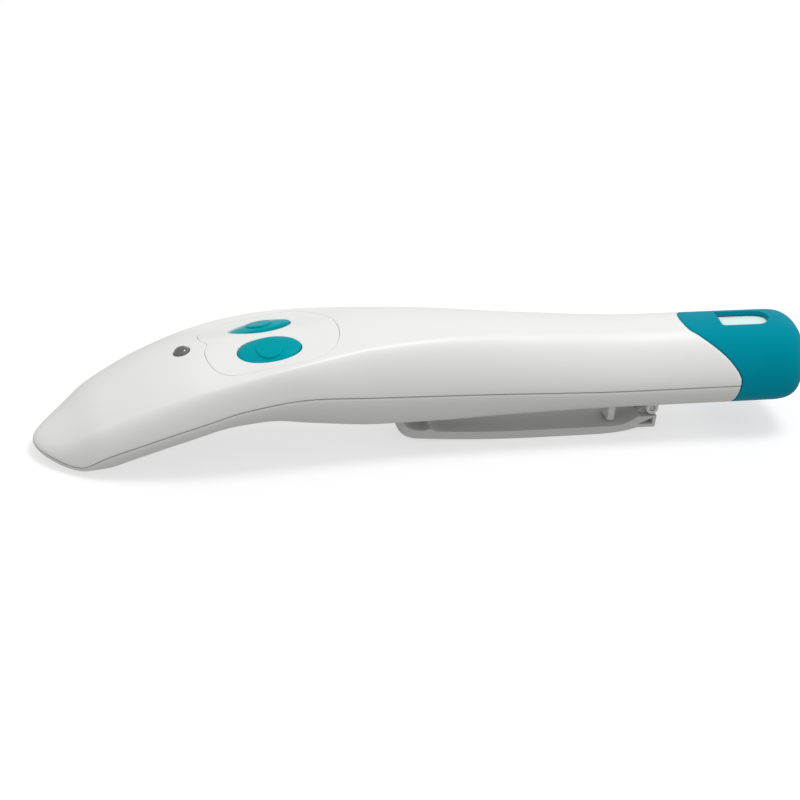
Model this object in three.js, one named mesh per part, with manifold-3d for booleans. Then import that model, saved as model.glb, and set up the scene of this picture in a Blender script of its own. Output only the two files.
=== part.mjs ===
// Handheld microchip scanner: a bent wand with a wide antenna head, a control fascia with two oval
// buttons, a grip with a battery bay behind it, a pull-off end cap and a sprung belt clip underneath.
// Millimetres, +X from the nose to the cap, +Y to the right of a user who points the nose away, +Z up.
// The wand rests on its nose and on the belly of the clip.

import * as THREE from "three";
import { mergeVertices } from "three/addons/utils/BufferGeometryUtils.js";
import Module from "manifold-3d";

const wasm = await Module();
wasm.setup();

// ---------------------------------------------------------------- driving dimensions

const LENGTH = 270;
const WALL = 2;
const CAP_WALL = 1.6;
const GAP = 0.3; // between parts that touch
const NOSE_REACH = 20; // length over which the nose rounds off
const TAIL_START = 256; // where the end cap starts to round off
const TAIL_CENTRE_Z = 26.2;

const BUTTON = { x: 76.3, y: 8.3, z: 39.1, halfLength: 10.6, halfWidth: 5.9, pitch: 11.6, roll: 18, yaw: 4 };
const LED = { x: 48.5, z: 35.4, radius: 2.6, pitch: 18 };
const FASCIA = { front: 55, rear: 101.5, halfWidth: 18.2, rearRadius: 17.5, notch: 2 };
const BOARD = { x0: 66, x1: 192, halfWidth: 13.2, bottom: 26, thickness: 1.6 };
const BOARD_TOP = BOARD.bottom + BOARD.thickness;
const ANTENNA = { x: 36, z: 14.6, pitch: 17.5 };
const CELL = { x0: 211.2, length: 44.5, radius: 5.25, y: 6.1, z: 25.4 };
const CARRIER = { x0: 206, x1: 262.2, inset: 2.9, bulkhead: 4 };
const WINDOW = { front: 238.8, rear: 252.4, halfWidth: 5 };
const LATCH_TRAVEL = 1.5;
const CLIP = { halfWidth: 7.5, pinX: 216.3, pinZ: 9, pinRadius: 1, knuckle: 2.2 };
const SCREW_SPOTS = [[50, 19.3], [50, -19.3], [198, 10], [198, -10]];
const BOARD_SCREW_SPOTS = [[98, 9.5], [186, -9.5]];

// ---------------------------------------------------------------- numbers and curves

const radians = THREE.MathUtils.degToRad;

// A smooth curve through [x, value] points. It is averaged over blur to each side.
function along(points, blur = 5) {
  const rise = (i) => (points[i + 1][1] - points[i][1]) / (points[i + 1][0] - points[i][0]);
  const slopes = points.map((_, i) => {
    if (i === 0) return rise(0);
    if (i === points.length - 1) return rise(i - 1);
    const before = rise(i - 1);
    const after = rise(i);
    return before * after <= 0 ? 0 : (2 * before * after) / (before + after);
  });
  const exact = (x) => {
    let i = 0;
    while (i < points.length - 2 && x > points[i + 1][0]) i++;
    const [x0, v0] = points[i];
    const [x1, v1] = points[i + 1];
    const width = x1 - x0;
    const t = Math.min(1, Math.max(0, (x - x0) / width));
    const u = 1 - t;
    return (
      v0 * (1 + 2 * t) * u * u + v1 * (3 - 2 * t) * t * t +
      width * t * u * (slopes[i] * u - slopes[i + 1] * t)
    );
  };
  const taps = [[-1, 1], [-0.5, 3], [0, 4], [0.5, 3], [1, 1]];
  return (x) => taps.reduce((sum, [shift, weight]) => sum + weight * exact(x + shift * blur), 0) / 12;
}

// The wand's shape along its length. From x = 215 on it is constant, so the cap slides off straight.
const halfWidth = along([
  [-10, 15.5], [12, 18.6], [20, 20.6], [35, 23.5], [56, 24.9], [87, 23.2], [112, 20.3], [155, 17.8], [195, 17.3], [280, 17.3],
]);
const creaseHalfWidth = along([
  [-10, 10.5], [12, 14.6], [19, 16.9], [38, 20.6], [60, 22.3], [78, 21.3], [94, 18], [111, 14.7], [141, 10.4], [169, 8.1], [210, 6.8], [280, 6.8],
]);
const creaseHeight = along([
  [-10, 4.5], [0, 8], [12, 12.4], [19, 16.6], [38, 26.3], [60, 34.2], [78, 38.3], [94, 40.8], [111, 42.3], [132, 42.9], [169, 41.2], [210, 39.4], [280, 39.4],
]);
const crownRise = along([
  [-10, 2], [20, 4.4], [46, 5.4], [62, 4.2], [77, 2.6], [92, 1.8], [115, 1.6], [140, 1.3], [175, 1], [280, 1],
]);
const crownSharpness = along([[-10, 1], [48, 1], [70, 4], [84, 4], [108, 1], [280, 1]]);
const seamHeight = along([
  [-10, 5.4], [5, 3.8], [10, 2.9], [13, 2.9], [20, 7.3], [35, 14.3], [51, 20.3], [67, 25.2], [87, 27.5], [112, 25.5], [155, 23.3], [205, 21.8], [280, 21.8],
], 2);
const bellyHeight = along([
  [-10, 0], [21, 0], [31, 3.9], [47, 10], [62, 14.6], [75, 15.4], [90, 12.8], [115, 9.7], [135, 9.5], [165, 10.6], [205, 11.6], [280, 11.6],
], 3);
const CREASE = 0.16; // how much steeper the side starts than the crown ends, as a slope
const FULLNESS = 0.8; // of the side's curve, where 0.71 is a quarter of an ellipse
const BELLY_SHARPNESS = 2.7;

const roundOff = (t, sharpness) => Math.pow(Math.max(0, 1 - Math.pow(t, sharpness)), 1 / sharpness);

// The ring of points around the wand at x, inset from its outer surface.
function ring(x, inset, [top, side, belly]) {
  const reach = Math.min(1, Math.max(0, (x - inset) / NOSE_REACH));
  const tail = Math.max(0, (x - TAIL_START) / (LENGTH - inset - TAIL_START));
  const scale = tail > 0 ? roundOff(Math.min(1, tail), 3.3) : roundOff(1 - reach, 1.9);
  const at = Math.min(x, TAIL_START);
  const w = halfWidth(at) - inset;
  const h = creaseHalfWidth(at) - inset * 0.5;
  const seam = seamHeight(at);
  const crease = creaseHeight(at) - inset;
  const belly0 = bellyHeight(at) + inset;
  const rise = crownRise(at);
  const sharp = crownSharpness(at);
  const edge = 0.85; // the share of the crown's half-width where its slope is taken
  const edgeSlope = (2 * edge * rise * sharp * Math.pow(1 - edge * edge, sharp - 1)) / h;
  const corner = crease - (w - h) * (edgeSlope + CREASE);
  const half = [];
  for (let i = 0; i <= top; i++) {
    const t = i / top;
    half.push([h * t, crease + rise * Math.pow(1 - t * t, sharp)]);
  }
  for (let i = 1; i <= side; i++) {
    const t = i / side;
    const [a, b, c] = [(1 - t) * (1 - t), 2 * FULLNESS * t * (1 - t), t * t];
    half.push([(a * h + (b + c) * w) / (a + b + c), (a * crease + b * corner + c * seam) / (a + b + c)]);
  }
  for (let i = 1; i <= belly; i++) {
    const a = (i / belly) * (Math.PI / 2);
    const y = w * Math.pow(Math.max(0, Math.cos(a)), 2 / BELLY_SHARPNESS);
    half.push([i === belly ? 0 : y, seam - (seam - belly0) * Math.pow(Math.sin(a), 2 / BELLY_SHARPNESS)]);
  }
  const mirrored = half.slice(1, -1).reverse().map(([y, z]) => [-y, z]);
  const pivot = tail > 0 ? TAIL_CENTRE_Z : seam;
  return [...half, ...mirrored].map(([y, z]) => new THREE.Vector3(x, y * scale, pivot + (z - pivot) * scale));
}

// ---------------------------------------------------------------- making solids

// A closed skin over rings of equally many points, drawn to one point at each end.
function loft(rings, first, last) {
  const count = rings[0].length;
  const points = [...rings.flat(), first, last];
  const start = points.length - 2;
  const end = points.length - 1;
  const index = [];
  for (let j = 0; j < count; j++) {
    const k = (j + 1) % count;
    index.push(start, j, k);
    for (let i = 0; i < rings.length - 1; i++) {
      const a = i * count;
      const b = a + count;
      index.push(a + j, b + k, a + k, a + j, b + j, b + k);
    }
    const tail = (rings.length - 1) * count;
    index.push(end, tail + k, tail + j);
  }
  const geometry = new THREE.BufferGeometry().setFromPoints(points);
  return geometry.setIndex(index);
}

function solid(geometry) {
  const bare = new THREE.BufferGeometry().setAttribute("position", geometry.getAttribute("position"));
  bare.setIndex(geometry.index);
  const merged = mergeVertices(bare, 1e-4);
  return new wasm.Manifold(new wasm.Mesh({
    numProp: 3,
    vertProperties: merged.getAttribute("position").array,
    triVerts: new Uint32Array(merged.index.array),
  }));
}

function geometryOf(made) {
  const mesh = made.getMesh();
  const geometry = new THREE.BufferGeometry();
  geometry.setAttribute("position", new THREE.BufferAttribute(mesh.vertProperties, 3));
  geometry.setIndex(new THREE.BufferAttribute(mesh.triVerts, 1));
  const flat = geometry.toNonIndexed();
  flat.computeVertexNormals();
  return flat;
}

const joined = (...solids) => solids.reduce((a, b) => a.add(b));
const cut = (from, ...tools) => tools.reduce((a, b) => a.subtract(b), from);

// A geometry turned about Y by pitch and about X by roll in degrees, then moved.
function placed(geometry, [x, y, z], pitch = 0, roll = 0, yaw = 0) {
  const turn = new THREE.Euler(radians(roll), radians(-pitch), radians(yaw), "YXZ");
  const matrix = new THREE.Matrix4().makeRotationFromEuler(turn).setPosition(x, y, z);
  return geometry.clone().applyMatrix4(matrix);
}

const block = (dx, dy, dz) => new THREE.BoxGeometry(dx, dy, dz);
const post = (radius, height, sides = 20) => new THREE.CylinderGeometry(radius, radius, height, sides).rotateX(Math.PI / 2);
const bar = (radius, width, sides = 20) => new THREE.CylinderGeometry(radius, radius, width, sides);

// A shape drawn in X and Z, extruded by width across the wand.
function acrossWand(shape, width) {
  const geometry = new THREE.ExtrudeGeometry(shape, { depth: width, bevelEnabled: false, curveSegments: 8 });
  return geometry.rotateX(Math.PI / 2).translate(0, width / 2, 0);
}

// A shape drawn in X and Y, extruded upwards by height and centred on its middle.
function upright(shape, height) {
  const geometry = new THREE.ExtrudeGeometry(shape, { depth: height, bevelEnabled: false, curveSegments: 8 });
  return geometry.translate(0, 0, -height / 2);
}

function oval(halfLength, halfWidthOf) {
  return new THREE.Shape().absellipse(0, 0, halfLength, halfWidthOf, 0, 2 * Math.PI);
}

// How finely a form is divided: points on the crown, side and belly, rings on the nose and tail, and the
// step between rings along the bend.
const OUTSIDE = { around: [4, 4, 5], nose: 9, tail: 6, step: 11 };
const INSIDE = { around: [2, 3, 3], nose: 5, tail: 4, step: 22 };

function wandStations(x0, x1, { nose, tail, step }) {
  const front = Array.from({ length: nose }, (_, i) => x0 + 30 * Math.pow((i + 0.4) / nose, 2));
  const bend = Array.from({ length: Math.floor(88 / step) }, (_, i) => 36 + i * step);
  const rear = Array.from({ length: tail }, (_, i) =>
    TAIL_START + (x1 - TAIL_START) * Math.sin(((i + 1) / (tail + 0.4)) * (Math.PI / 2)));
  return [...front, ...bend, 128, 150, 180, 215, TAIL_START, ...rear];
}

// The wand's outer form, or the form a given inset inside it.
function wand(inset, detail) {
  const x1 = LENGTH - inset;
  const rings = wandStations(inset, x1, detail).map((x) => ring(x, inset, detail.around));
  const nose = new THREE.Vector3(inset, 0, seamHeight(inset));
  return solid(loft(rings, nose, new THREE.Vector3(x1, 0, TAIL_CENTRE_Z)));
}

// A straight stretch of that form with flat ends.
function stretch(inset, x0, x1, detail) {
  const rings = [x0, 215, 236, TAIL_START, x1].filter((x) => x >= x0 && x <= x1)
    .map((x) => ring(x, inset, detail.around));
  const middle = (x) => new THREE.Vector3(x, 0, TAIL_CENTRE_Z);
  return solid(loft(rings, middle(x0), middle(x1)));
}

// ---------------------------------------------------------------- cutting forms

const FAR = 60;
const DEPTH_OF_CUT = 120;

// Everything below the seam between the shells, shifted by offset.
function belowSeam(offset) {
  const shape = new THREE.Shape().moveTo(-FAR, -FAR);
  shape.lineTo(LENGTH + FAR, -FAR);
  for (let x = LENGTH + 10; x >= -10; x -= x > 30 ? 10 : 2.5) shape.lineTo(x, seamHeight(x) + offset);
  shape.lineTo(-FAR, seamHeight(-10) + offset);
  return solid(acrossWand(shape, DEPTH_OF_CUT));
}

// Everything behind the wave where the end cap meets the shells, shifted by offset.
function behindCapEdge(offset) {
  const wave = new THREE.SplineCurve([
    [242, 4], [242.2, 12.4], [243.9, 21.5], [243.2, 25.8], [239.2, 31.1], [234.4, 35], [229, 38.2], [225.2, 39.9], [219, 44.5],
  ].map(([x, z]) => new THREE.Vector2(x + offset, z)));
  const shape = new THREE.Shape().moveTo(LENGTH + FAR, -FAR);
  shape.lineTo(LENGTH + FAR, FAR + 20);
  shape.lineTo(210 + offset, FAR + 20);
  wave.getPoints(26).reverse().forEach((p) => shape.lineTo(p.x, p.y));
  shape.lineTo(242 + offset, -FAR);
  return solid(acrossWand(shape, DEPTH_OF_CUT));
}

// The outline of the control fascia: a round rear end and a front end with two lobes.
function fasciaShape(grow) {
  const { front, rear, halfWidth: half, rearRadius, notch } = FASCIA;
  const width = half + grow;
  const points = [];
  for (let i = 0; i <= 12; i++) {
    const a = -Math.PI / 2 + (i / 12) * Math.PI;
    const bulge = Math.pow(Math.abs(Math.sin(a)), 0.9) * Math.sign(Math.sin(a));
    points.push([rear - rearRadius + (rearRadius + grow) * Math.cos(a), width * bulge]);
  }
  for (let i = 1; i < 18; i++) {
    const y = width * Math.cos((i / 18) * Math.PI);
    const corner = 12 * (1 - Math.sqrt(1 - Math.pow(Math.min(1, Math.abs(y) / width), 4)));
    points.push([front - grow + corner + notch * Math.exp(-Math.pow(y / 3, 2)), y]);
  }
  return new THREE.Shape(points.map(([x, y]) => new THREE.Vector2(x - BUTTON.x, y)));
}
const fasciaPrism = (grow) => solid(placed(upright(fasciaShape(grow), 24), [BUTTON.x, 0, BUTTON.z], BUTTON.pitch));

// side is -1 for the left button and 1 for the right one.
const onButton = (geometry, side) =>
  placed(geometry, [BUTTON.x, side * BUTTON.y, BUTTON.z], BUTTON.pitch, -side * BUTTON.roll, side * BUTTON.yaw);

// ---------------------------------------------------------------- housing

const outer = wand(0, OUTSIDE);
const hollow = wand(WALL, INSIDE);
const ledHole = solid(placed(post(LED.radius + GAP, 16, 24), [LED.x, 0, LED.z], LED.pitch));
const bodySkin = cut(outer, hollow, behindCapEdge(-GAP / 2));

// A column that is trimmed to the inside of the shells.
function column(x, y, z0, z1, radius) {
  const made = solid(placed(post(radius, z1 - z0), [x, y, (z0 + z1) / 2]));
  return made.intersect(outer);
}

function upperShell() {
  const skin = cut(bodySkin, belowSeam(GAP / 2), fasciaPrism(GAP / 2), ledHole);
  const bosses = SCREW_SPOTS.map(([x, y]) => column(x, y, seamHeight(x) + GAP, 60, 3));
  const pilots = SCREW_SPOTS.map(([x, y]) => solid(placed(post(1.4, 9, 12), [x, y, seamHeight(x) + 4.5])));
  return cut(joined(skin, ...bosses), ...pilots);
}

function lowerShell() {
  const skin = bodySkin.intersect(belowSeam(-GAP / 2));
  const bosses = SCREW_SPOTS.map(([x, y]) => column(x, y, 0, seamHeight(x) - GAP, 3.4));
  const pillars = BOARD_SCREW_SPOTS.map(([x, y]) => column(x, y, 0, BOARD.bottom - GAP, 2.4));
  const bores = SCREW_SPOTS.flatMap(([x, y]) => [
    solid(placed(post(1.4, 60, 12), [x, y, 15])),
    solid(placed(post(2.8, 40, 16), [x, y, headTop(x) - 20])),
  ]);
  const pilots = BOARD_SCREW_SPOTS.map(([x, y]) => solid(placed(post(1, 7, 10), [x, y, BOARD.bottom - 3])));
  const stop = solid(placed(block(2.6, 9, 8.4), [202.2, 0, 7.8]));
  const lugs = [-1, 1].map((side) => {
    const barrel = solid(placed(bar(CLIP.knuckle, 2.4), [CLIP.pinX, side * 5.9, CLIP.pinZ]));
    return barrel.add(solid(placed(block(2 * CLIP.knuckle, 2.4, 3.6), [CLIP.pinX, side * 5.9, CLIP.pinZ + 1.8])));
  });
  const pinHole = solid(placed(bar(CLIP.pinRadius + 0.12, 30), [CLIP.pinX, 0, CLIP.pinZ]));
  return cut(joined(skin, ...bosses, ...pillars, stop, ...lugs), ...bores, ...pilots, pinHole);
}

// The height of a case screw's head: its counterbore leaves the head well inside the belly.
const headTop = (x) => bellyHeight(x) + 5.2;

function controlFascia() {
  const plate = outer.subtract(wand(3.2, INSIDE)).intersect(fasciaPrism(-GAP / 2));
  const flange = wand(WALL + GAP, INSIDE).subtract(wand(3.2, INSIDE)).intersect(fasciaPrism(1.6));
  const holes = [-1, 1].map((side) =>
    solid(onButton(upright(oval(BUTTON.halfLength + 0.35, BUTTON.halfWidth + 0.35), 20), side)));
  return cut(plate.add(flange), ...holes);
}

function endCap() {
  const skin = outer.intersect(behindCapEdge(GAP / 2)).subtract(wand(CAP_WALL, OUTSIDE));
  const seat = solid(placed(block(6, 17, 7), [266.4, 0, CELL.z])).intersect(wand(0.4, INSIDE));
  return cut(skin.add(seat), windowPrism(0, 36));
}

// The outline of the cap's window, grown all round, from a given height upwards.
function windowPrism(grow, bottom) {
  const { front, rear, halfWidth: half } = WINDOW;
  const shape = new THREE.Shape().moveTo(front - grow, -half - grow);
  shape.lineTo(rear, -half - grow);
  shape.absarc(rear, 0, half + grow, -Math.PI / 2, Math.PI / 2);
  shape.lineTo(front - grow, half + grow);
  return solid(placed(upright(shape, 20), [0, 0, bottom + 10]));
}

// The white pad in the window: it lies under the cap's wall and is pressed into the carrier.
function capLatch() {
  return wand(CAP_WALL + GAP, OUTSIDE).intersect(windowPrism(0.8, 36.4));
}

// ---------------------------------------------------------------- controls

// Drawn once about its own axis, with +Z out of the fascia and its centre at the fascia's surface.
function buttonGeometry() {
  const profile = [
    [0, -5.5], [0.3, -5.5], [0.3, -5.2], [1.06, -5.2], [1.06, -4.5], [1, -4.5], [1, 0.1],
    [0.9, 0.7], [0.55, 1.15], [0, 1.3],
  ].map(([r, z]) => new THREE.Vector2(r, z));
  const body = new THREE.LatheGeometry(profile, 32).rotateX(Math.PI / 2);
  body.scale(BUTTON.halfLength, BUTTON.halfWidth, 1);
  const disc = placed(post(4, 1.2, 20), [0, 0, 0.95]);
  return geometryOf(joined(solid(body), solid(disc)));
}

// Both button meshes share this pose rule: the mesh is turned as the fascia's holes are.
function setOnButton(mesh, side) {
  mesh.position.set(BUTTON.x, side * BUTTON.y, BUTTON.z);
  mesh.rotation.set(radians(-side * BUTTON.roll), radians(-BUTTON.pitch), radians(side * BUTTON.yaw), "YXZ");
  return mesh;
}

function ledGeometry() {
  const r = LED.radius;
  const dome = [0, 18, 36, 54, 72, 90].map((a) =>
    new THREE.Vector2(r * Math.cos(radians(a)), 0.1 + 1.7 * Math.sin(radians(a))));
  const profile = [new THREE.Vector2(0, -6), new THREE.Vector2(3.1, -6), new THREE.Vector2(3.1, -5), new THREE.Vector2(r, -5)];
  return new THREE.LatheGeometry([...profile, ...dome], 20).rotateX(Math.PI / 2);
}

// ---------------------------------------------------------------- antenna and board

function bobbinGeometry() {
  const core = upright(oval(19.6, 13), 6.2);
  const flange = () => upright(oval(22.4, 15.8), 0.8);
  const body = joined(solid(core), solid(placed(flange(), [0, 0, 2.7])), solid(placed(flange(), [0, 0, -2.7])));
  return geometryOf(body.subtract(solid(upright(oval(17.8, 11.2), 10))));
}

function coilGeometry() {
  const shape = oval(21.9, 15.3);
  shape.holes.push(oval(20, 13.4));
  return upright(shape, 4);
}

function boardGeometry() {
  const shape = new THREE.Shape().moveTo(BOARD.x0 + 5, -BOARD.halfWidth);
  shape.lineTo(BOARD.x1, -BOARD.halfWidth);
  shape.lineTo(BOARD.x1, BOARD.halfWidth);
  shape.lineTo(BOARD.x0 + 5, BOARD.halfWidth);
  shape.quadraticCurveTo(BOARD.x0, BOARD.halfWidth, BOARD.x0, BOARD.halfWidth - 5);
  shape.lineTo(BOARD.x0, 5 - BOARD.halfWidth);
  shape.quadraticCurveTo(BOARD.x0, -BOARD.halfWidth, BOARD.x0 + 5, -BOARD.halfWidth);
  BOARD_SCREW_SPOTS.forEach(([x, y]) => shape.holes.push(new THREE.Path().absarc(x, y, 1.3, 0, 2 * Math.PI)));
  return upright(shape, BOARD.thickness);
}

function switchGeometry() {
  const plunger = placed(post(1.6, 1.2, 12), [0, 0, 1.7]);
  return geometryOf(joined(solid(block(6, 6, 2.8)), solid(plunger)));
}

// A lead along its route, an eight-sided section drawn along the curve.
function lead(points, radius) {
  const route = new THREE.CatmullRomCurve3(points.map((p) => new THREE.Vector3(...p)));
  const section = new THREE.Shape(Array.from({ length: 8 }, (_, i) =>
    new THREE.Vector2(radius * Math.cos((i * Math.PI) / 4), radius * Math.sin((i * Math.PI) / 4))));
  return new THREE.ExtrudeGeometry(section, { extrudePath: route, steps: 14, bevelEnabled: false });
}

function screwGeometry(headRadius, headHeight, shankRadius, length) {
  const profile = [
    [0, -headHeight], [headRadius * 0.8, -headHeight], [headRadius, -headHeight * 0.6], [headRadius, 0],
    [shankRadius, 0], [shankRadius, length - 1], [0, length],
  ].map(([r, z]) => new THREE.Vector2(r, z));
  return new THREE.LatheGeometry(profile, 12).rotateX(Math.PI / 2);
}

// ---------------------------------------------------------------- battery bay

const alongX = (radius, length, sides = 24) => bar(radius, length, sides).rotateZ(Math.PI / 2);
const perCell = (make) => [-1, 1].map((side) => make(side * CELL.y));

function batteryCarrier() {
  const { x0, x1, inset, bulkhead } = CARRIER;
  const body = stretch(inset, x0, x1, OUTSIDE);
  const bores = perCell((y) => solid(placed(alongX(CELL.radius + 0.35, 60), [x0 + bulkhead + 30, y, CELL.z])));
  const studHoles = perCell((y) => solid(placed(alongX(1.3, 12, 12), [x0, y, CELL.z])));
  const lightening = solid(placed(block(26, 22, 20), [x0 + bulkhead + 15, 0, 32.6 + 10]));
  return cut(body, ...bores, ...studHoles, lightening, windowPrism(0.8 + GAP, 36.4 - LATCH_TRAVEL - 0.5));
}

// A rubber band round the carrier that holds the cap by friction; it is open where the latch moves.
function gripBand() {
  const x0 = 246.4;
  const band = stretch(1.85, x0, x0 + 2.2, OUTSIDE).subtract(stretch(2.6, x0 - 1, x0 + 4, OUTSIDE));
  return band.subtract(windowPrism(2, 30));
}

// One cell about its own axis, with its nub at +X.
function cellGeometry() {
  const { radius, length } = CELL;
  const profile = [
    [0, 0], [radius - 0.5, 0], [radius, 0.4], [radius, length - 1.6], [radius - 0.6, length - 1],
    [1.9, length - 1], [1.9, length - 0.1], [0, length],
  ].map(([r, x]) => new THREE.Vector2(r, x));
  return new THREE.LatheGeometry(profile, 20).rotateZ(-Math.PI / 2);
}

// A disc in the bulkhead with a stud that passes through it to the lead.
function contactGeometry() {
  return geometryOf(joined(solid(alongX(4, 0.6)), solid(placed(alongX(0.9, 5.2, 12), [-2.8, 0, 0]))));
}

// The plate in the cap that joins the two cells, with a sprung cone for each.
function bridgeGeometry() {
  const plate = solid(block(0.5, 19, 8));
  const cones = perCell((y) => {
    const cone = new THREE.CylinderGeometry(1.8, 3.4, 6.8, 16).rotateZ(Math.PI / 2);
    return solid(placed(cone, [-3.5, y, 0]));
  });
  return geometryOf(joined(plate, ...cones));
}

// ---------------------------------------------------------------- belt clip

// The clip's side outline: a front lip that meets the shell, a long blade and a ramp with an eye.
function clipProfile() {
  const { pinX, pinZ } = CLIP;
  const knuckle = 0.85 * CLIP.knuckle;
  const shape = new THREE.Shape().moveTo(122.9, 9);
  shape.quadraticCurveTo(123.2, 3.2, 130.5, 2);
  shape.quadraticCurveTo(152, 0.1, 172, 0);
  shape.lineTo(196, 0);
  shape.quadraticCurveTo(206, 0.2, 211.2, 2);
  shape.lineTo(217.8, 1.9);
  shape.lineTo(pinX + knuckle, pinZ);
  shape.lineTo(pinX, pinZ + knuckle);
  shape.lineTo(pinX - knuckle, pinZ + 0.2);
  shape.quadraticCurveTo(208.4, 3, 202, 3);
  shape.lineTo(172, 3);
  shape.quadraticCurveTo(150, 3.1, 137, 4.5);
  shape.quadraticCurveTo(135.2, 6.1, 133.4, 4.9);
  shape.quadraticCurveTo(126.4, 5, 125.3, 9);
  const eye = [[211.3, 3.2], [216.8, 3.1], [216.7, 5.6]].map(([x, z]) => new THREE.Vector2(x, z));
  shape.holes.push(new THREE.Path(eye));
  return shape;
}

function beltClip() {
  const { halfWidth: half, pinX, pinZ, knuckle } = CLIP;
  const plan = new THREE.Shape().moveTo(127.5, -half);
  plan.lineTo(230, -half);
  plan.lineTo(230, half);
  plan.lineTo(127.5, half);
  plan.quadraticCurveTo(121.5, half, 121.5, half - 6);
  plan.lineTo(121.5, 6 - half);
  plan.quadraticCurveTo(121.5, -half, 127.5, -half);
  const blade = solid(acrossWand(clipProfile(), 2 * half + 2)).intersect(solid(placed(upright(plan, 60), [0, 0, 10])));
  const lugRoom = [-1, 1].map((side) => solid(placed(block(9, 5, 7.4), [pinX, side * 6.85, pinZ + 0.9])));
  const springRoom = solid(placed(block(9, 4.6, 7.4), [pinX, 0, pinZ + 0.9]));
  const barrel = solid(placed(bar(knuckle, 8.6), [pinX, 0, pinZ]));
  const pinHole = solid(placed(bar(CLIP.pinRadius + 0.12, 30), [pinX, 0, pinZ]));
  return cut(joined(cut(blade, ...lugRoom), barrel), springRoom, pinHole);
}

// A close-wound torsion spring around the pin, five turns side by side.
function clipSpring() {
  const [bore, wire, turns] = [1.35, 0.8, 5];
  const grooves = Array.from({ length: 2 * turns + 1 }, (_, i) =>
    new THREE.Vector2(bore + (i % 2 ? wire : wire * 0.6), ((i - turns) * wire) / 2));
  const ends = [grooves[0], grooves[2 * turns]].map((p) => new THREE.Vector2(bore, p.y));
  return new THREE.LatheGeometry([ends[0], ...grooves, ends[1], ends[0]], 14);
}

// ---------------------------------------------------------------- finishes

const finish = (colour, roughness, metalness = 0) => () =>
  new THREE.MeshStandardMaterial({ color: colour, roughness, metalness });
const whiteShell = finish(0xf1f2ee, 0.38);
const paleShell = finish(0xdadcd8, 0.45);
const tealSoft = finish(0x0090a5, 0.55);
const tealKey = finish(0x12a5ae, 0.4);
const smoked = finish(0x3a3b3a, 0.1);
const steel = finish(0xb8bbbe, 0.3, 0.9);
const copper = finish(0xb5693a, 0.35, 0.8);
const laminate = finish(0x1d6b3c, 0.5);
const blackPlastic = finish(0x1b1c1e, 0.5);
const blackRubber = finish(0x222222, 0.85);
const redLead = finish(0xb3261e, 0.5);
const batteryJacket = finish(0x33475a, 0.4);

// ---------------------------------------------------------------- assembly

const scanner = new THREE.Group();
scanner.position.x = -LENGTH / 2;

function add(name, shape, makeMaterial, at = [0, 0, 0], pitch = 0) {
  const geometry = shape.isBufferGeometry ? shape : geometryOf(shape);
  const mesh = new THREE.Mesh(geometry, makeMaterial());
  mesh.name = name;
  mesh.position.set(...at);
  mesh.rotation.y = radians(-pitch);
  scanner.add(mesh);
  return mesh;
}

add("upper_shell", upperShell(), whiteShell);
add("lower_shell", lowerShell(), paleShell);
add("control_fascia", controlFascia(), whiteShell);
add("end_cap", endCap(), tealSoft);
[["left", -1], ["right", 1]].forEach(([name, side]) => {
  setOnButton(add(name + "_button", buttonGeometry(), tealKey), side);
  add(name + "_switch", switchGeometry(), blackPlastic, [78.1, side * 6.1, BOARD_TOP + 1.4 + GAP / 2]);
});
add("status_led", ledGeometry(), smoked, [LED.x, 0, LED.z], LED.pitch);

add("antenna_bobbin", bobbinGeometry(), blackPlastic, [ANTENNA.x, 0, ANTENNA.z], ANTENNA.pitch);
add("antenna_coil", coilGeometry(), copper, [ANTENNA.x, 0, ANTENNA.z], ANTENNA.pitch);
add("antenna_lead", lead([[58.6, 4, 21.6], [61, 4.2, 24.5], [64.5, 5.5, 28.6], [68.2, 6, 29.4]], 0.7), blackPlastic);

const BOARD_PARTS = [
  ["antenna_connector", 71.5, 6, 6, 7, 2.4, whiteShell],
  ["reader_chip", 97, -4, 10, 10, 1.6, blackPlastic],
  ["tuning_capacitor", 88, 0, 7, 4, 5, redLead],
  ["processor_chip", 117, 2, 12, 12, 1.6, blackPlastic],
  ["crystal", 129, -7.5, 10, 4.2, 3.4, steel],
  ["radio_module", 164, 0, 22, 15, 2.8, steel],
  ["battery_connector", 187, 6.5, 6, 8, 5, whiteShell],
];
add("main_board", boardGeometry(), laminate, [0, 0, BOARD.bottom + BOARD.thickness / 2]);
BOARD_PARTS.forEach(([name, x, y, dx, dy, dz, material]) =>
  add(name, block(dx, dy, dz), material, [x, y, BOARD_TOP + GAP / 2 + dz / 2]));
add("buzzer", post(6, 5.4, 28), blackPlastic, [143, 3.5, BOARD_TOP + GAP / 2 + 2.7]);

add("battery_carrier", batteryCarrier(), whiteShell);
add("cap_grip_band", gripBand(), blackRubber);
add("cap_latch", capLatch(), whiteShell);
const carrierFront = CARRIER.x0 + CARRIER.bulkhead;
["left", "right"].forEach((name, i) => {
  const y = (2 * i - 1) * CELL.y;
  const cell = add(name + "_cell", cellGeometry(), batteryJacket, [CELL.x0, y, CELL.z]);
  if (i === 1) cell.position.x += CELL.length;
  if (i === 1) cell.rotation.z = Math.PI;
  add(name + "_contact", contactGeometry(), steel, [carrierFront + GAP + 0.3, y, CELL.z]);
});
add("bridge_contact", bridgeGeometry(), steel, [262.9, 0, CELL.z]);
add("left_battery_lead", lead([[190.6, 4.6, 30], [194, 2, 30.4], [200, -4.4, 28], [204.6, -CELL.y, CELL.z]], 0.75), blackPlastic);
add("right_battery_lead", lead([[190.6, 8, 30], [194, 6, 31], [200, 5, 29], [204.6, CELL.y, CELL.z]], 0.75), redLead);

add("belt_clip", beltClip(), paleShell);
add("clip_pin", bar(CLIP.pinRadius, 13.6), steel, [CLIP.pinX, 0, CLIP.pinZ]);
add("clip_spring", clipSpring(), steel, [CLIP.pinX, 0, CLIP.pinZ]);

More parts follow.
